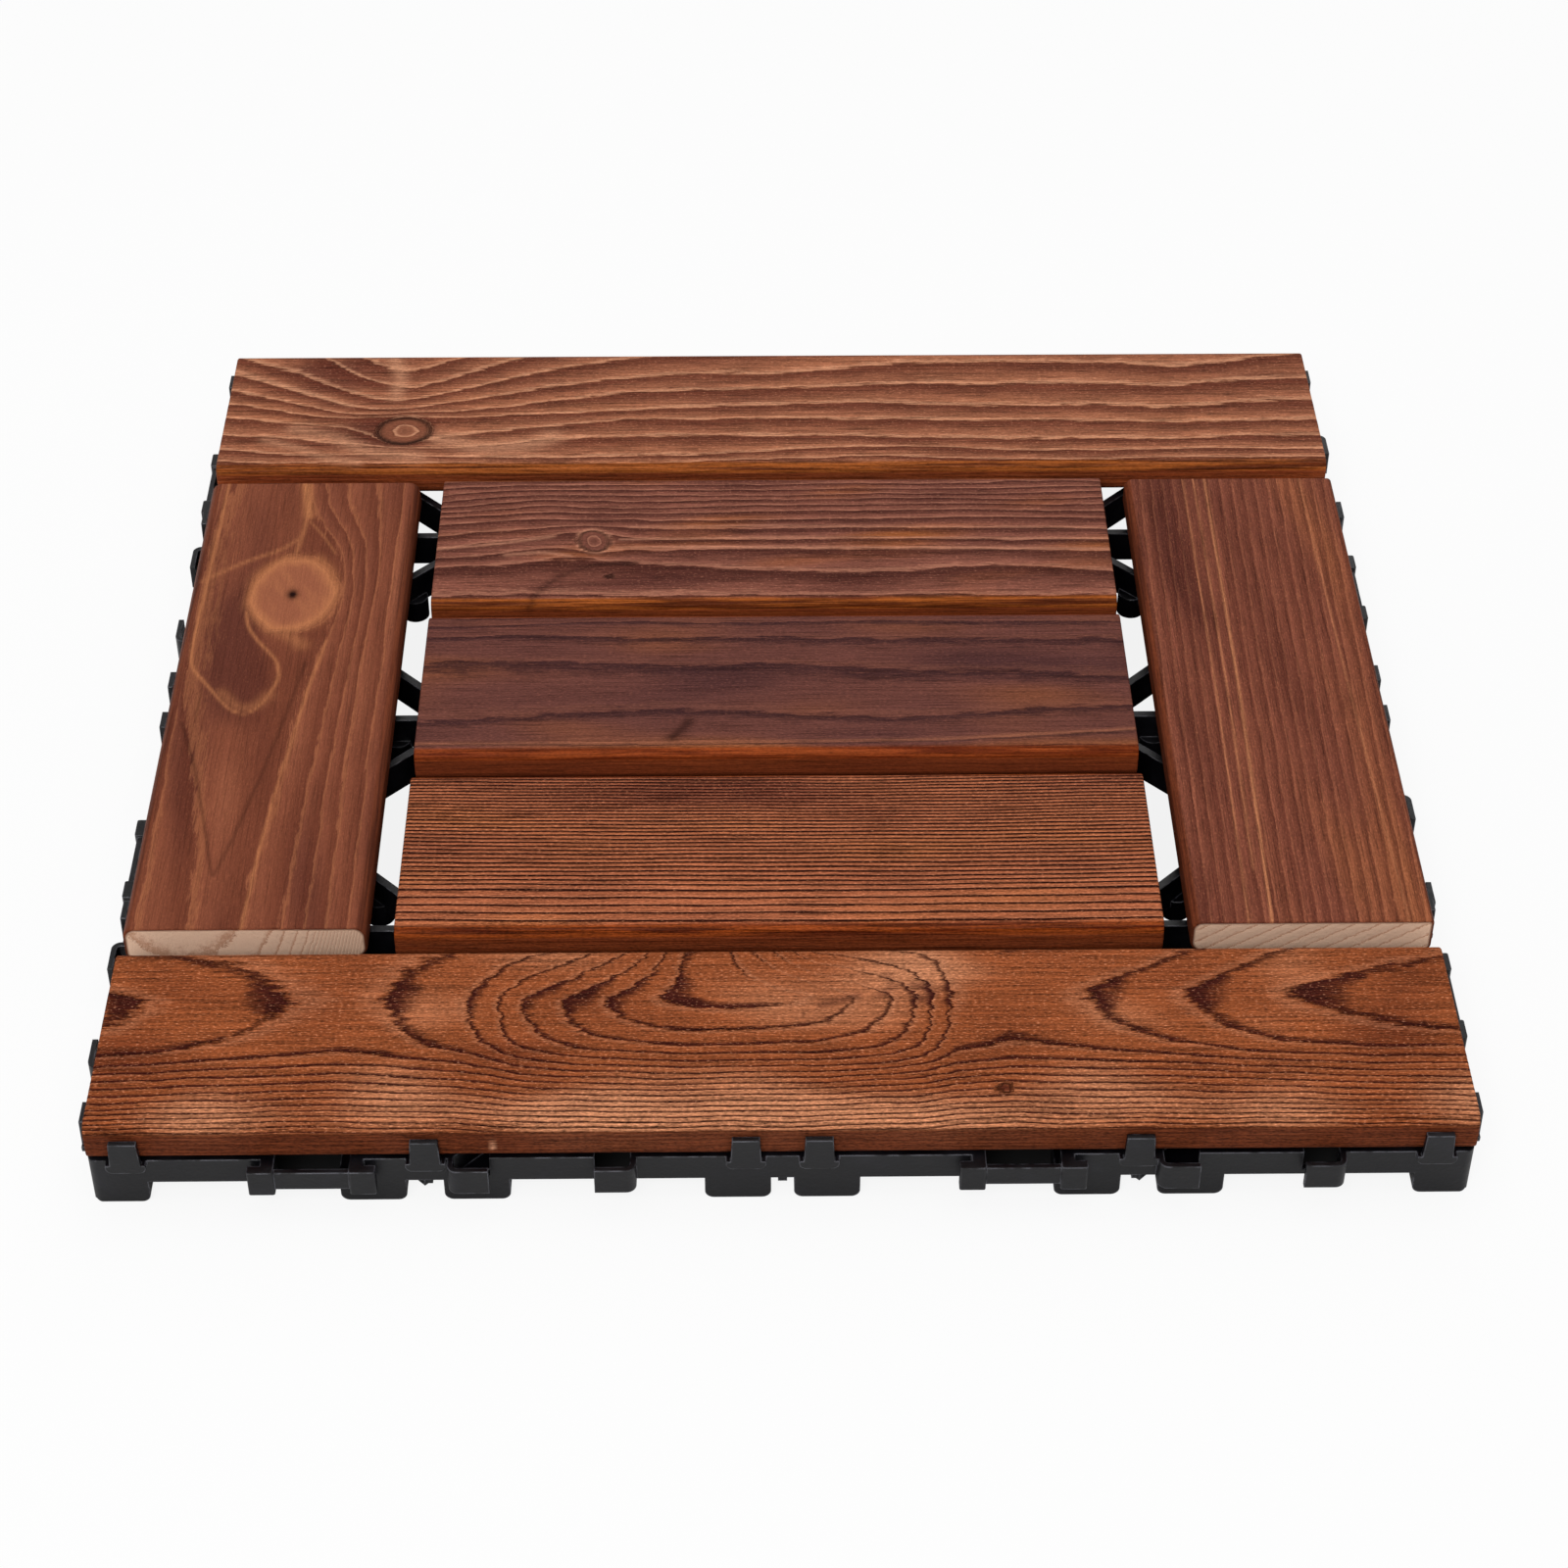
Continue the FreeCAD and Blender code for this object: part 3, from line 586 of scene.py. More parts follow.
def makeWood(name, design):
    graph = Graph(name)
    space, _ = graph.channels("grainSpace")
    _, (ring, pale, dark) = graph.channels("grainMarks")
    _, (tone, paintedEdge, end) = graph.channels("grainTone")
    _, (calm, narrow, _) = graph.channels("grainBand")
    look = woodLook
    lively = 1 - calm * look["knotStill"]
    paintedGapShade = graph.ease(paintedEdge, 1.0, 2.0)
    paintedEdge = paintedEdge.work("MINIMUM", 1.0)
    brushed = 1 - paintedEdge
    fibre = (graph.noise(space, *look["fibre"]) - 0.5) * lively
    hair = (graph.noise(space, *look["hair"]) - 0.5) * lively
    ragged = graph.noise(space, *look["ragged"]) - 0.5
    cloud = graph.noise(space, *look["cloud"]) - 0.5
    sand = graph.noise(space, *look["sand"])
    fleck = graph.ease(sand, *look["fleckRange"]) * lively
    scratch = graph.ease(graph.noise(space, *look["scratch"]), *look["scratchRange"]) * lively

    # Rings: a sharp dark edge that fades over the late wood, and a pale crest before the
    # next. Knots stay calmer, and the painted light and shade on rounded edges and upright faces hides the
    # rings.
    phase = (ring + ragged * design["ragged"] * lively + hair * design["fray"]).work("FRACT")
    rise = graph.ease(phase, 0.0, design["edge"])
    late = graph.ease(phase * narrow, 1.0, design["lateHold"]) * rise
    crestStart = 1 - design["crestWidth"]
    crest = graph.ease(phase, crestStart, crestStart + design["crestWidth"] * look["crestShare"])
    crest = crest * (1 - graph.ease(phase, look["crestEnd"], 1.0))
    colours = design["colours"]
    shade = tone + cloud * design["cloudiness"]
    reach, share = look["toneReach"], look["toneShare"]
    colour = graph.mix(colours["early"], colours["deep"], graph.ease(shade, 0.0, -reach) * share)
    colour = graph.mix(colour, colours["bright"], graph.ease(shade, 0.0, reach) * share)
    colour = graph.mix(colour, colours["late"], late * design["contrast"] * (1 - calm * look["knotPlain"]))
    colour = graph.mix(colour, colours["pale"], crest * design["crest"])
    streak = graph.ease(graph.noise(space, *look["streak"]), *look["streakRange"])
    # Painted light and shade: an orange, streaked colour on the rounded edges, and a darker one on the
    # upright faces in the gaps.
    paintedEdgeColour = graph.mix(colours["paintedEdgeDark"], colours["paintedEdge"], streak)
    paintedEdgeColour = graph.mix(paintedEdgeColour, colours["paintedGapShade"], paintedGapShade * look["paintedGapShadeShare"])
    colour = graph.mix(colour, paintedEdgeColour, paintedEdge * look["paintedEdgeShare"])
    colour = graph.mix(colour, colours["pale"], pale * (0.9 + 0.9 * fibre))
    colour = graph.mix(colour, colours["pale"], fleck * brushed * design["flecks"])
    colour = graph.mix(colour, colours["ink"], scratch * design["scratches"])
    colour = graph.mix(colour, colours["ink"], dark * (0.85 + 0.7 * fibre))
    share = look["greyShare"]
    grey = 1 + (fibre * share + hair * share) * design["grit"] + (sand - 0.5) * design["sand"]
    strength = graph.add("CombineXYZ", {0: grey, 1: grey, 2: grey})
    factors = {0: 1.0, 6: colour, 7: strength}
    colour = graph.add("Mix", factors, 2, data_type="RGBA", blend_type="MULTIPLY")
    endLine = graph.ease(phase, *look["endLineRange"]) * graph.ease(phase, 0.0, look["endLineRise"])
    endShare = endLine * 0.8 + (sand - 0.5) * 0.3
    colour = graph.mix(colour, graph.mix(colours["endEarly"], colours["endLate"], endShare), end)
    height = late * design["ridge"] * brushed + fibre * 0.5 + hair * 0.35 - scratch * 0.4 - dark * 0.2
    bump = graph.add("Bump", {"Strength": design["bump"], "Distance": look["bumpDepth"], "Height": height})
    roughness = design["gloss"] - fibre * 0.3 + end * 0.25 - paintedEdge * 0.08
    graph.shade({
        "Base Color": colour,
        "Roughness": roughness,
        "Specular IOR Level": design["specular"],
        "Normal": bump,
    })
    return graph.material


def spacedRings(marks, tilt, bend):
    # Straight rings counted from (across, ring) marks, slightly tilted and bowed
    def rings(along, across):
        line = across + tilt * along + bend * np.cos(along / 55)
        return np.interp(line, *np.array(marks).T)
    return rings


def evenRings(spacing, tilt, bend):
    # Evenly spaced straight rings, numbered from the far side, slightly tilted and bowed
    def rings(along, across):
        return -(across + tilt * along + bend * np.cos(along / 55)) / spacing
    return rings


# Colours and settings that the boards share. Each board then states its own: the
# lines of its rings, knots, pale and dark strokes, clouds of tone, and fades, where
# the dark edges narrow, or widen if the amount is negative.
common = {
    "endEarly": tint(255, 214, 184), "endLate": tint(190, 126, 92), "ink": tint(34, 10, 6),
    # The colours on the next line paint light on the rounded edges and shade on the upright faces.
    "paintedEdge": tint(150, 66, 20), "paintedEdgeDark": tint(84, 28, 8), "paintedGapShade": tint(138, 64, 34),
}
plain = {
    "wander": 0.35, "endSlope": (1.2, 0.0), "endCrowd": 0.35, "toneSwing": 0.25,
    "lateAt": [(-160, 0.8), (160, 0.8)], "lateHold": 0.1, "edge": 0.05, "ragged": 0.4, "fray": 0.25,
    "crestWidth": 0.22, "crest": 0.5, "contrast": 0.95, "cloudiness": 0.25, "ridge": 1.0, "bump": 0.9,
    "gloss": 0.5, "specular": 0.03, "flecks": 0.3, "scratches": 0.4, "relief": 0.10, "grit": 1.1,
    "paintedEdgeTurn": (0.01, 0.12), "sand": 1.1, "topRounds": (3.0, 3.0),
    "knots": [], "strokes": [], "clouds": [], "fades": [],
}


def knot(place, radii, **own):
    # A knot in a board: what it doesn't state stays plain
    start = {"rings": 1.0, "start": 0.2, "rim": 0.5, "core": 1.0, "coreSize": 0.8, "rimWidth": 0.2,
             "halo": 0.0, "haloAt": 1.0, "haloWidth": 0.11, "tone": 0.0, "lean": 0.0}
    start.update(own, place=place, radii=radii)
    return start


def stroke(pale, width, strength, points):
    return {"pale": pale, "width": width, "strength": strength, "points": points}


backPlank = dict(plain, **{
    "seed": 11,
    "rings": guidedRings([
        [(-150, 158), (-130, 152), (-112, 136), (-100, 131), (-85, 139), (-70, 147), (-50, 153),
         (150, 165)],
        [(-150, 149), (-130, 139), (-115, 128), (-102, 125.5), (-85, 131), (-60, 141), (-35, 148),
         (-10, 151), (150, 157)],
        [(-150, 140), (-130, 129.5), (-115, 122.5), (-102, 121.5), (-85, 125.5), (-60, 132), (-40, 136.5),
         (-20, 139), (0, 138.5), (20, 141), (40, 143.5), (90, 143.5), (115, 141), (130, 144), (150, 148)],
        [(-150, 131), (-130, 124), (-115, 119.2), (-102, 119.8), (-85, 121), (-60, 125.5), (-40, 129),
         (-20, 130.3), (0, 130.5), (30, 132.5), (90, 133.5), (110, 131), (130, 134), (150, 135)],
        [(-150, 125), (-130, 119.5), (-115, 117), (-102, 118.6), (-85, 117.5), (-60, 119.5), (-40, 121.5),
         (0, 123.5), (30, 124), (60, 122.5), (90, 123), (110, 121), (130, 123), (150, 124.5)],
        [(-150, 118), (-130, 115), (-115, 112.5), (-102, 104.5), (-85, 109), (-60, 113.5), (-40, 116.5),
         (0, 116.5), (40, 115.5), (80, 115), (110, 113), (150, 114.5)],
        [(-150, 110), (-130, 108), (-115, 105.5), (-102, 103.2), (-85, 103.5), (-60, 107), (-40, 108.5),
         (0, 107.8), (40, 107), (80, 106.5), (110, 105), (150, 107)],
        [(-150, 103), (-130, 99.5), (-115, 99.5), (-102, 100), (-85, 98.3), (-20, 98.6), (0, 100),
         (20, 102.5), (40, 103), (80, 101), (150, 100.5)],
        [(-150, 96.5), (-130, 95.5), (0, 96), (30, 98), (60, 97), (150, 96.5)],
        [(-150, 94.5), (150, 94.5)],
    ], 9.0, 1.25),
    "knots": [knot((-100.4, 111.3), (7.4, 6.6), start=0.5, rim=1.0, core=0.3, coreSize=0.2, rimWidth=0.13,
                   tone=-0.5)],
    "strokes": [
        stroke(True, 1.6, 0.55, [(-106, 147), (-103, 138), (-104, 128)]),
        stroke(True, 2.4, 0.55, [(-90, 107), (-80, 103), (-66, 104), (-60, 108)]),
        stroke(True, 2.0, 0.5, [(-130, 112), (-118, 108), (-110, 101), (-96, 99)]),
        stroke(True, 1.2, 0.45, [(-138, 107), (-128, 103), (-120, 98), (-112, 97)]),
        stroke(True, 0.6, 0.5, [(-150, 141.5), (-130, 131), (-116, 123.5)]),
    ],
    "clouds": [((-124, 139), (16, 12), -1.0), ((-84, 142), (16, 8), -0.6), ((-112, 111), (9, 7), -0.35),
               ((-66, 122), (30, 9), 0.35), ((-80, 108), (16, 7), 0.45), ((60, 97), (120, 4), -0.3),
               ((-138, 116), (14, 8), 0.5), ((-100, 111), (11, 10), -1.1)],
    # Its edge colours paint light and shade on the rounded edges.
    "colours": dict(common, early=tint(172, 108, 78), late=tint(98, 44, 30), pale=tint(218, 156, 120),
                    deep=tint(98, 50, 40), bright=tint(192, 122, 86), paintedEdge=tint(162, 86, 34),
                    paintedEdgeDark=tint(92, 38, 12)),
    "crest": 0.6, "contrast": 0.85, "lateAt": [(-160, 0.95), (160, 0.95)],
})


def flameRings(along, across):
    # Nested flames round a centre line, above long rings that straighten towards the near edge
    design = flames
    along = along + design["tear"] * ripple(along, across, 31, 22, 0.9)
    along = along + design["tear"] * ripple(along, across, 32, 30, 3.0)
    ridge = np.interp(along, *np.array(design["ridge"]).T)
    onRidge = np.interp(along, *np.array(design["onRidge"]).T)
    onTop = np.interp(along, *np.array(design["onTop"]).T)
    depth = np.clip(ridge - across, 0, None)
    depth = depth - (ridge - design["level"]) * np.clip(depth / design["settle"], 0, 1)
    down = np.interp(depth, *np.array(design["down"]).T)
    down = down + np.clip(depth - design["down"][-1][0], 0, None) / design["spacing"]
    power = design["power"]
    below = (np.abs(onRidge) ** power + down ** power) ** (1 / power)
    up = np.clip((across - ridge) / (design["topLine"] - ridge), 0, None)
    above = onRidge + (onTop - onRidge) * up
    return -np.where(across < ridge, below, above)


flames = {
    "tear": 0.24,
    "power": 2.0,
    "spacing": 1.1,
    "topLine": -96.0,
    "level": -110.5,
    "settle": 18.0,
    "ridge": [(-150, -110), (-95, -110), (-50, -111.5), (-25, -110.5), (-13, -109), (10, -110), (50, -110),
              (150, -108)],
    "onRidge": [(-152, 5.7), (-141, 6), (-109, 7), (-97, 7.2), (-88, 7), (-70, 6), (-63, 5), (-58, 4),
                (-49, 3), (-39.5, 2), (-27.5, 1), (-13, 0.3), (6, 1), (16, 2), (25, 3), (30.5, 4),
                (34, 5), (38, 6), (50, 6.5), (68, 6), (90, 5), (112, 4), (150, 3.2)],
    "onTop": [(-152, 6.8), (-100, 7.4), (-75, 7), (-55, 6.2), (-45, 5.4), (-36, 4.2), (-30, 3),
              (-26, 2), (-22, 1), (-13, 0.6), (-4, 2.2), (2, 3.6), (8, 5), (34, 6.2), (50, 6.9),
              (78, 6.6), (100, 5.6), (118, 4.8), (150, 4.2)],
    "down": [(0, 0), (5.2, 1), (11.3, 2), (15.5, 3), (18, 4), (20.2, 5), (22, 6), (23.8, 7), (25.5, 8),
             (33, 12.2), (37, 15), (43, 20.5)],
}
frontPlank = dict(plain, **{
    "seed": 23,
    "rings": flameRings,
    "wander": 0.25,
    "knots": [knot((48.4, -139.4), (1.7, 1.5), core=0.9, tone=-0.6)],
    "strokes": [stroke(False, 0.9, 0.7, [(30, -107), (35.3, -109.8), (30.5, -112)]),
                stroke(False, 0.9, 0.6, [(9, -113.5), (13, -112), (17, -110.5)]),
                stroke(False, 0.7, 0.5, [(22, -110.5), (26, -107.5), (24, -104)]),
                stroke(True, 0.22, 0.8, [(-62.9, -152.0), (-62.6, -153.5), (-62.3, -155.4)])],
    # The first cloud, a light band along the near edge, is a painted highlight.
    "clouds": [((0, -146), (200, 8), 0.85), ((-110, -100), (20, 6), 0.3), ((50, -103), (18, 6), 0.3),
               ((0, -127), (200, 5), -0.35), ((12, -106), (18, 6), 0.15)],
    "fades": [((5, -106), (17, 9), 1.0), ((-115, -119), (16, 5), 0.6), ((33, -110), (6, 5), -2.4),
              ((-49, -110.5), (8, 5.5), -2.3), ((-39, -110), (6.5, 5.5), -2.2), ((-25, -109), (8, 6), -2.5),
              ((-12, -113), (12, 2.5), -1.6), ((-69, -110), (6, 4.5), -1.6), ((-85, -110), (9, 5), -2.0),
              ((-112, -110.5), (9, 5), -2.1), ((-145, -109.5), (9, 5.5), -2.2), ((71, -110), (9, 5), -2.1),
              ((94, -110), (10, 5), -2.1), ((118, -108), (12, 6), -2.2)],
    # Its edge colours paint light on the rounded edges and shade on the upright faces.
    "colours": dict(common, early=tint(151, 80, 44), late=tint(56, 14, 12), pale=tint(230, 164, 126),
                    deep=tint(104, 46, 24), bright=tint(214, 144, 104), paintedEdge=tint(100, 50, 26),
                    paintedEdgeDark=tint(72, 33, 17), paintedGapShade=tint(96, 45, 25), ink=tint(62, 22, 20)),
    "lateAt": [(-160, 0.5), (-131, 0.45), (-124, 0.3), (-116, 0.18), (-90, 0.18)], "lateHold": 0.2,
    "sand": 2.2, "grit": 1.3, "scratches": 0.2, "ragged": 0.3, "fray": 0.3, "crest": 0.12, "relief": 0.14,
    "bump": 1.0, "gloss": 0.55, "endSlope": (0.9, 0.0), "paintedEdgeTurn": (0.6, 0.8),
})
leftSidePlank = dict(plain, **{
    "seed": 37,
    "rings": guidedRings([
        [(-89, -95.5), (89, -95.5)],
        [(-89, -98.5), (0, -98.5), (89, -98)],
        [(-89, -103.5), (-40, -104), (20, -103.5), (40, -102), (60, -102.5), (89, -106)],
        [(-89, -108.5), (-40, -108), (0, -106.5), (40, -104.8), (60, -106.5), (75, -112), (89, -114)],
        [(-89, -113.5), (-40, -112.5), (0, -110), (40, -107.6), (60, -110.5), (75, -117), (89, -120)],
        [(-89, -122.5), (-60, -121.3), (-40, -119.5), (0, -115.5), (30, -111), (45, -110), (57, -112.5),
         (65, -117), (80, -122.5), (89, -124)],
        [(-89, -135), (-60, -136), (-30, -141), (0, -147), (60, -148.5), (89, -143)],
        [(-89, -147), (89, -147)],
    ], 2.0, 2.0),
    "knots": [knot((38.0, -123.2), (16.5, 11.6), rings=0.1, start=0.8, rim=0.0, core=1.4, coreSize=0.12,
                   halo=0.6, haloAt=0.9, haloWidth=0.13, tone=0.7)],
    "strokes": [
        stroke(True, 0.36, 0.55, [(31, -134.2), (25, -133.4), (19, -130.3), (11, -124.5), (4, -123),
                                  (-5, -125.5), (-11, -129.5), (-9, -134), (0, -140), (8, -145.5),
                                  (14, -146.3), (88, -145)]),
        stroke(True, 0.5, 0.4, [(44, -147), (49, -141), (54, -134), (57, -128), (62, -124)]),
        stroke(True, 1.0, 0.75, [(88, -124.5), (78, -123), (72, -122.3)]),
        stroke(True, 0.5, 0.45, [(74, -122.5), (66, -123), (56, -124)]),
        stroke(True, 0.3, 0.35, [(70, -122), (64, -118), (56, -114)]),
        stroke(True, 1.3, 0.5, [(53, -118), (47, -114), (38, -112.4), (30, -114), (25, -118.5)]),
        stroke(True, 1.3, 0.3, [(-3, -125), (-8, -128), (-8.5, -132), (-2, -137)]),
        stroke(True, 0.25, 0.5, [(-89, -122.6), (-60, -121.2), (-40, -119.6), (0, -115.6), (18, -113)]),
        stroke(False, 0.35, 0.45, [(-14, -145), (-30, -140), (-55, -134.3), (-71, -131), (-55, -127.5),
                                  (-35, -123.8), (-10, -119.8), (10, -117.3)]),
        stroke(True, 1.6, 0.35, [(23, -126), (20, -121), (17, -119)]),
    ],
    "clouds": [((20, -139), (32, 8), -1.0), ((2, -131), (12, 6), -0.9), ((70, -138), (22, 9), -0.5),
               ((60, -106), (30, 6), -0.45), ((-40, -128), (26, 5), 0.3), ((-60, -105), (50, 6), -0.3)],
    # Its edge colours paint light on the rounded edges and shade on the upright faces.
    "colours": dict(common, early=tint(136, 76, 54), late=tint(92, 42, 28), pale=tint(202, 130, 84),
                    deep=tint(88, 44, 36), bright=tint(172, 104, 74), paintedEdge=tint(118, 60, 38),
                    paintedEdgeDark=tint(84, 40, 26), paintedGapShade=tint(96, 48, 30)),
    "contrast": 0.5, "crest": 0.2, "bump": 0.5, "relief": 0.04, "grit": 0.4, "sand": 0.5, "wander": 0.15,
    "cloudiness": 0.15, "flecks": 0.1, "scratches": 0.25,
    "endSlope": (0.6, 0.035), "endCrowd": 1.0,
})
rightSidePlank = dict(plain, **{
    "seed": 41,
    "rings": evenRings(3.1, -0.015, 0.3),
    "strokes": [
        stroke(True, 0.22, 0.95, [(-89, 112), (0, 114.3), (89, 115.2)]),
        stroke(True, 0.16, 0.6, [(-70, 109.8), (0, 111.4), (89, 112.2)]),
        stroke(True, 0.16, 0.55, [(-89, 106.6), (0, 108.6), (89, 109.4)]),
        stroke(True, 0.2, 0.4, [(-89, 143.5), (0, 141.5), (89, 140.5)]),
    ],
    "clouds": [((30, 103), (90, 7), -0.9), ((0, 126), (120, 8), -0.35), ((-20, 145), (120, 5), 0.55),
               ((-70, 135), (30, 10), 0.25)],
    # Its edge colours paint light on the rounded edges and shade on the upright faces.
    "colours": dict(common, early=tint(130, 72, 54), late=tint(82, 36, 26), pale=tint(206, 134, 92),
                    deep=tint(84, 40, 32), bright=tint(160, 94, 60), paintedEdge=tint(118, 58, 34),
                    paintedEdgeDark=tint(84, 38, 24), paintedGapShade=tint(96, 48, 30)),
    "contrast": 0.5, "crest": 0.1, "bump": 0.5, "relief": 0.03, "grit": 0.7, "wander": 0.08,
    "flecks": 0.15, "cloudiness": 0.15, "topRounds": (2.5, 1.2), "endSlope": (1.6, 0.0), "endCrowd": 0.55,
})
middleBackPlank = dict(plain, **{
    "seed": 53,
    "rings": guidedRings([
        [(-88, 86.5), (-60, 88), (88, 88.5)],
        [(-88, 83.5), (-60, 85.5), (88, 86)],
        [(-88, 80.5), (-60, 83), (88, 83.6)],
        [(-88, 78), (-60, 80.5), (-40, 80.5), (88, 81.3)],
        [(-88, 75.5), (-60, 78), (-40, 77.5), (0, 78.8), (88, 78.8)],
        [(-88, 73), (-60, 75.8), (-47, 74.5), (0, 76.2), (88, 76.2)],
        [(-88, 70.5), (-60, 73.5), (-47, 72.2), (0, 73.6), (88, 73.4)],
        [(-88, 67), (-62, 71), (-50, 70), (-35, 70), (88, 70)],
        [(-88, 62), (-70, 65), (-55, 67.5), (-47, 67.8), (-38, 66.5), (40, 66), (88, 64.5)],
        [(-88, 57.5), (-70, 60), (-57, 63.5), (-47, 66.2), (-38, 61.7), (40, 61), (88, 60)],
        [(-88, 53.5), (-70, 55.5), (-57, 57.5), (-47, 55), (-38, 56.7), (0, 57), (88, 55.5)],
        [(-88, 49), (-70, 51), (-55, 53.6), (-47, 52.8), (-38, 51), (0, 47.6), (20, 45.8), (60, 48.5),
         (88, 46.5)],
        [(-88, 37), (88, 36.5)],
    ], 2.4, 1.3),
    "knots": [knot((-47.0, 60.4), (4.0, 4.7), rings=1.6, core=0.5, coreSize=0.3, rimWidth=0.1, halo=0.7,
                   haloAt=1.12, tone=-0.2, lean=20.0),
              knot((-42.4, 45.0), (0.9, 0.9), tone=-1.0)],
    "strokes": [
        stroke(False, 0.7, 0.55, [(-63, 33), (-60, 40), (-54, 46.5), (-46, 50), (-36, 50.8)]),
        stroke(True, 0.45, 0.7, [(-88, 57.2), (-72, 59.4), (-58, 62.4)]),
        stroke(True, 0.45, 0.7, [(-70, 54.3), (-60, 55.8), (-53, 54)]),
        stroke(True, 0.45, 0.7, [(-41, 57.4), (-20, 57.6), (0, 57.3), (88, 56)]),
        stroke(True, 0.35, 0.6, [(-40, 61), (0, 61.8), (88, 60.5)]),
        stroke(True, 0.35, 0.5, [(-38, 66.6), (0, 66.9), (88, 65.2)]),
    ],
    # The last cloud, a narrow light band on the near edge, is a painted highlight.
    "clouds": [((-20, 43), (60, 6), -0.7), ((-60, 76), (30, 9), -0.4), ((20, 60), (80, 6), 0.25),
               ((0, 32), (160, 2.8), 1.4)],
    # Its edge colours paint light and shade on the rounded edges.
    "colours": dict(common, early=tint(140, 84, 68), late=tint(70, 30, 24), pale=tint(198, 136, 108),
                    deep=tint(88, 46, 40), bright=tint(172, 96, 40), paintedEdge=tint(164, 86, 32),
                    paintedEdgeDark=tint(92, 38, 10)),
    "crest": 0.4, "contrast": 0.85, "bump": 0.8, "grit": 0.8, "sand": 0.9,
})
middleCentrePlank = dict(plain, **{
    "seed": 67,
    "rings": guidedRings([
        [(-88, 25.5), (88, 25.5)],
        [(-88, 20.5), (0, 19), (88, 18.5)],
        [(-88, 10.5), (-40, 9.5), (-18, 7.8), (-8, 9), (20, 7), (60, 5), (88, 2.5)],
        [(-88, -13), (-60, -11), (-20, -9.5), (0, -11.5), (30, -13), (60, -10), (88, -8.5)],
        [(-88, -22.5), (-20, -22.7), (40, -22), (88, -18.5)],
        [(-88, -25), (88, -24)],
    ], 3.0, 1.3),
    "strokes": [stroke(False, 1.0, 0.8, [(-25.5, -20.5), (-22.6, -16.4), (-21.5, -14)]),
                stroke(True, 0.4, 0.55, [(-88, -22.2), (-20, -22.4), (40, -21.6), (88, -18)])],
    # The second cloud, a light band along the near edge, is a painted highlight.
    "clouds": [((50, 8), (40, 6), -0.5), ((0, -26), (150, 3.5), 1.0), ((0, 24), (120, 4), 0.2)],
    # Its edge colours paint light and shade on the rounded edges.
    "colours": dict(common, early=tint(106, 62, 54), late=tint(50, 26, 30), pale=tint(166, 104, 76),
                    deep=tint(70, 40, 42), bright=tint(150, 86, 48), paintedEdge=tint(156, 70, 28),
                    paintedEdgeDark=tint(104, 36, 8)),
    "lateAt": [(-160, 0.35), (160, 0.35)], "crest": 0.1, "bump": 0.5, "relief": 0.04, "contrast": 0.8,
    "grit": 0.7, "flecks": 0.15,
})
middleFrontPlank = dict(plain, **{
    "seed": 79,
    "rings": spacedRings([(-110, 45.6), (-87, 36.8), (-74, 31.8), (-62, 24.0), (-50, 14.8), (-33, 0.0),
                          (-20, -11.3)], 0.004, 0.8),
    # The last cloud, a light band along the near edge, is a painted highlight.
    "clouds": [((0, -40), (150, 9), -0.5), ((20, -56), (60, 6), 0.5), ((0, -89), (150, 4), 0.3)],
    "colours": dict(common, early=tint(176, 100, 66), late=tint(40, 4, 0), pale=tint(218, 146, 108),
                    deep=tint(118, 58, 42), bright=tint(192, 114, 62)),
    "lateAt": [(-100, 0.34), (-78, 0.36), (-70, 0.56), (-33, 0.62)], "lateHold": 0.5, "crest": 0.3,
    "ragged": 0.16, "fray": 0.16, "wander": 0.12, "grit": 0.9, "sand": 1.8, "contrast": 1.0, "bump": 1.0,
})
boards = {
    "back_plank": backPlank,
    "front_plank": frontPlank,
    "left_side_plank": leftSidePlank,
    "right_side_plank": rightSidePlank,
    "middle_back_plank": middleBackPlank,
    "middle_centre_plank": middleCentrePlank,
    "middle_front_plank": middleFrontPlank,
}


def makePlanks():
    for node, design in boards.items():
        piece = makeBoard(node, design)
        piece.data.materials.append(makeWood(node + "_finish", design))


# Moulded black plastic with soft edges, and plated screws
plastic = {
    "mottle": 90.0,
    "dimple": 330.0,
    "grit": 1100.0,
    "colour": tint(6, 5, 9),
    "worn": tint(48, 47, 56),
    # The edge colour is a painted highlight along the sharp edges.
    "edge": tint(140, 140, 150),
    "edgeSoftness": 0.0005,
    "bumpDepth": 0.0003,
    "roughness": 0.38,
    "roughSwing": 0.08,
    "specular": 0.38,
}
steel = {
    "mottle": 600.0,
    "colour": tint(180, 178, 170),
    "dull": tint(120, 116, 104),
    "roughness": (0.26, 0.42),
}


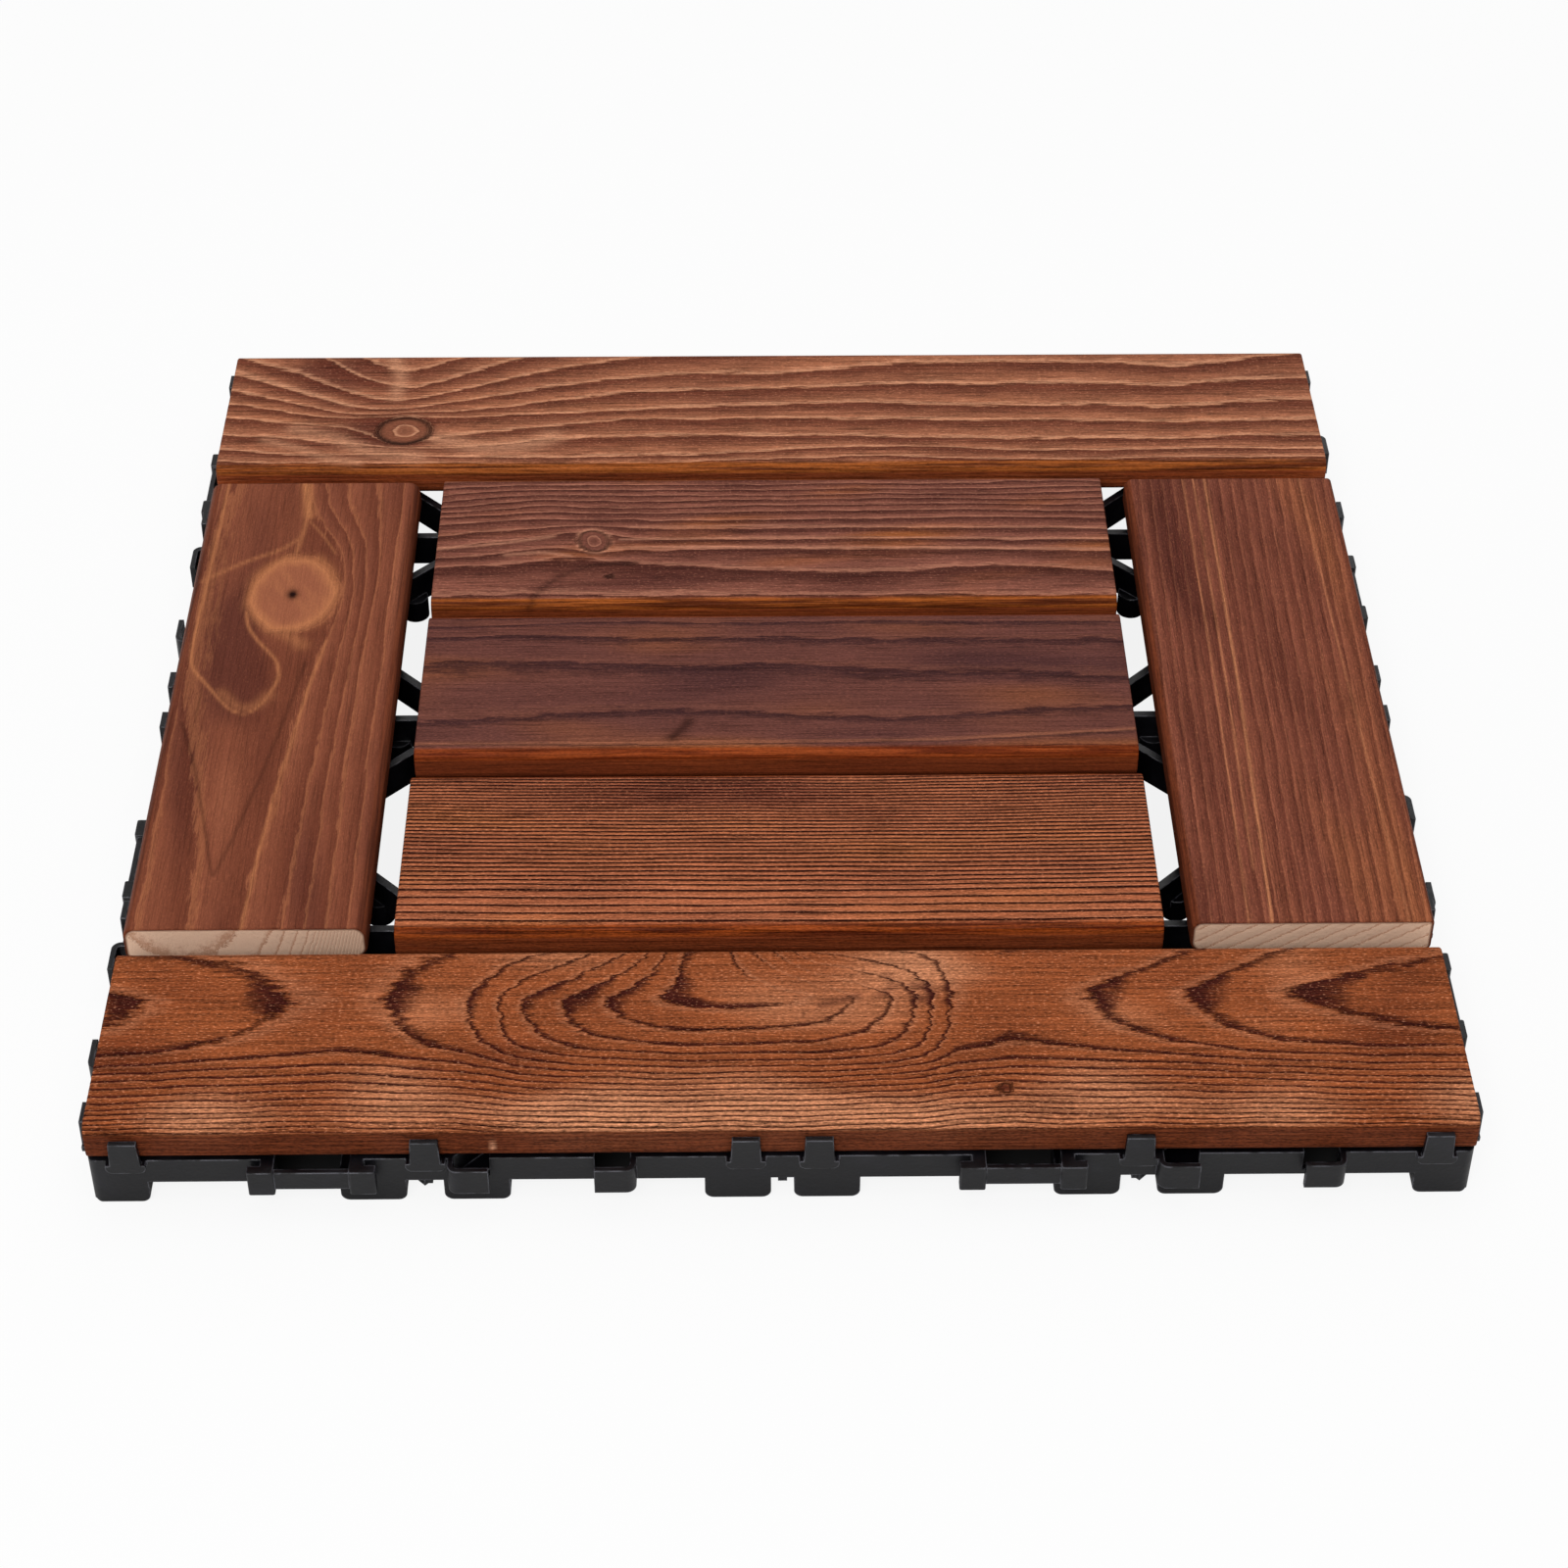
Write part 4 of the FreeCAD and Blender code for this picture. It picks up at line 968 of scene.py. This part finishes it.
def makePlastic():
    graph = Graph("gridPlastic")
    place = graph.add("TexCoord", output="Object")
    mottle = graph.noise(place, (plastic["mottle"],) * 3, 3.0)
    dimple = graph.noise(place, (plastic["dimple"],) * 3, 2.0)
    grit = graph.noise(place, (plastic["grit"],) * 3, 1.0)
    colour = graph.mix(plastic["colour"], plastic["worn"], graph.ease(mottle, 0.5, 0.85) * 0.3)
    soft = graph.add("Bevel", {"Radius": plastic["edgeSoftness"]}, samples=4)
    flat = graph.add("NewGeometry", output="True Normal")
    turned = 1 - graph.add("VectorMath", {0: soft, 1: flat}, "Value", operation="DOT_PRODUCT")
    # Painted highlight: a light colour along the sharp edges, broken up by a noise.
    paintedEdgeGlint = graph.ease(turned, 0.01, 0.14) * graph.ease(dimple, 0.34, 0.60)
    colour = graph.mix(colour, plastic["edge"], paintedEdgeGlint * 0.6)
    height = dimple * 0.7 + grit * 0.3
    relief = {"Strength": 0.5, "Distance": plastic["bumpDepth"], "Height": height, "Normal": soft}
    bump = graph.add("Bump", relief)
    middle, swing = plastic["roughness"], plastic["roughSwing"]
    roughness = graph.ease(mottle, 0.35, 0.65, middle - swing, middle + swing)
    graph.shade({
        "Base Color": colour,
        "Roughness": roughness,
        "Normal": bump,
        "Specular IOR Level": plastic["specular"],
    })
    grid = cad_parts["base_grid"].data
    grid.materials.clear()
    grid.materials.append(graph.material)


# Pan head screws with a cross recess and a thread, in millimetres
screw = {
    "seat": 5.0,
    "headRadius": 3.9,
    "headHeight": 2.2,
    "headRound": 0.9,
    "shankRadius": 1.9,
    "rootRadius": 1.45,
    "length": 14.4,
    "pointLength": 2.4,
    "pitch": 1.8,
    "neck": 1.2,
    "recessReach": 2.3,
    "recessWidth": 0.9,
    "recessDepth": 1.3,
    "recessFade": 0.15,
    "recessIn": 0.2,
    "recessOut": 0.4,
    "step": 0.25,
    "threadHalf": 0.3,
    "pointShare": 0.06,
    "sides": 28,
    "apart": 9.0,
}


def screwPlaces():
    # Middle of each screw, from the solids that the frame holds
    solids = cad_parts["plank_screws"]
    spots = np.array([solids.matrix_world @ vertex.co for vertex in solids.data.vertices]) / milli
    places = []
    while len(spots):
        own = np.hypot(*(spots - spots[0])[:, :2].T) < screw["apart"]
        places.append((spots[own].min(0) + spots[own].max(0))[:2] / 2)
        spots = spots[~own]
    return places


def makeScrews():
    head, base, seat = screw["headRadius"], screw["seat"] - screw["headHeight"], screw["seat"]
    rounding = screw["headRound"]
    rows = [(reach, base) for reach in np.linspace(0.01, head - rounding, 14)]
    for turn in np.linspace(0, math.pi / 2, 6)[1:]:
        offset = (math.sin(turn) * rounding, (1 - math.cos(turn)) * rounding)
        rows.append((head - rounding + offset[0], base + offset[1]))
    rows += [(head, seat), (screw["shankRadius"], seat)]
    rows += [(0.0, seat + rise) for rise in np.arange(screw["step"], screw["length"] + 0.01, screw["step"])]
    turns = np.arange(screw["sides"]) / screw["sides"] * 2 * math.pi
    radius, height = (np.repeat(values[:, None], screw["sides"], 1) for values in np.array(rows).T)
    rise = height - seat
    wave = (rise / screw["pitch"] - turns[None, :] / (2 * math.pi)) % 1.0
    crest = np.clip(1 - np.abs(wave - 0.5) / screw["threadHalf"], 0, 1)
    crest = crest * softStep(rise, screw["neck"], screw["neck"] + 1)
    left = np.clip((screw["length"] - rise) / screw["pointLength"], screw["pointShare"], 1)
    body = (screw["rootRadius"] + (screw["shankRadius"] - screw["rootRadius"]) * crest) * left
    radius = np.where(rise > 0.01, body, radius)
    across, along = radius * np.cos(turns), radius * np.sin(turns)
    slot, reach, fade = screw["recessWidth"] / 2, screw["recessReach"], screw["recessFade"]
    slots = [softStep(-np.abs(side), -slot - fade, -slot + fade) for side in (across, along)]
    recess = np.maximum(*slots) * softStep(-radius, -reach - screw["recessIn"], -reach + screw["recessOut"])
    height = height + np.where(height < base + 0.01, recess * screw["recessDepth"], 0)
    single = np.stack([across, along, height], -1).reshape(-1, 3)
    ring = np.arange(len(rows) * screw["sides"]).reshape(len(rows), -1)
    after = np.roll(ring, -1, 1)
    quads = np.stack([ring[:-1], after[:-1], after[1:], ring[1:]], -1).reshape(-1, 4)
    places = screwPlaces()
    spots = np.concatenate([single + (x, y, 0) for x, y in places])
    faces = np.concatenate([quads + index * len(single) for index in range(len(places))])
    mesh = bpy.data.meshes.new("screws")
    mesh.from_pydata((spots * milli).tolist(), [], faces.tolist())
    mesh.polygons.foreach_set("use_smooth", np.ones(len(faces), dtype=bool))
    mesh.update()
    piece = bpy.data.objects.new("screws", mesh)
    bpy.context.scene.collection.objects.link(piece)
    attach(piece, "root")
    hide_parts("plank_screws")
    print("plank_screws built with", len(faces), "faces,", len(places), "screws")
    return piece


def makeSteel():
    graph = Graph("screwSteel")
    place = graph.add("TexCoord", output="Object")
    mottle = graph.noise(place, (steel["mottle"],) * 3, 2.0)
    colour = graph.mix(steel["colour"], steel["dull"], graph.ease(mottle, 0.45, 0.8) * 0.5)
    roughness = graph.ease(mottle, 0.3, 0.7, *steel["roughness"])
    graph.shade({"Base Color": colour, "Roughness": roughness, "Metallic": 1.0})
    makeScrews().data.materials.append(graph.material)


def corners(box):
    return [[round(value, 6) for value in corner] for corner in box]


makeCamera()
makeStudio()
print("camera and studio ready")
makePlanks()
makePlastic()
makeSteel()
print("pieces ready")
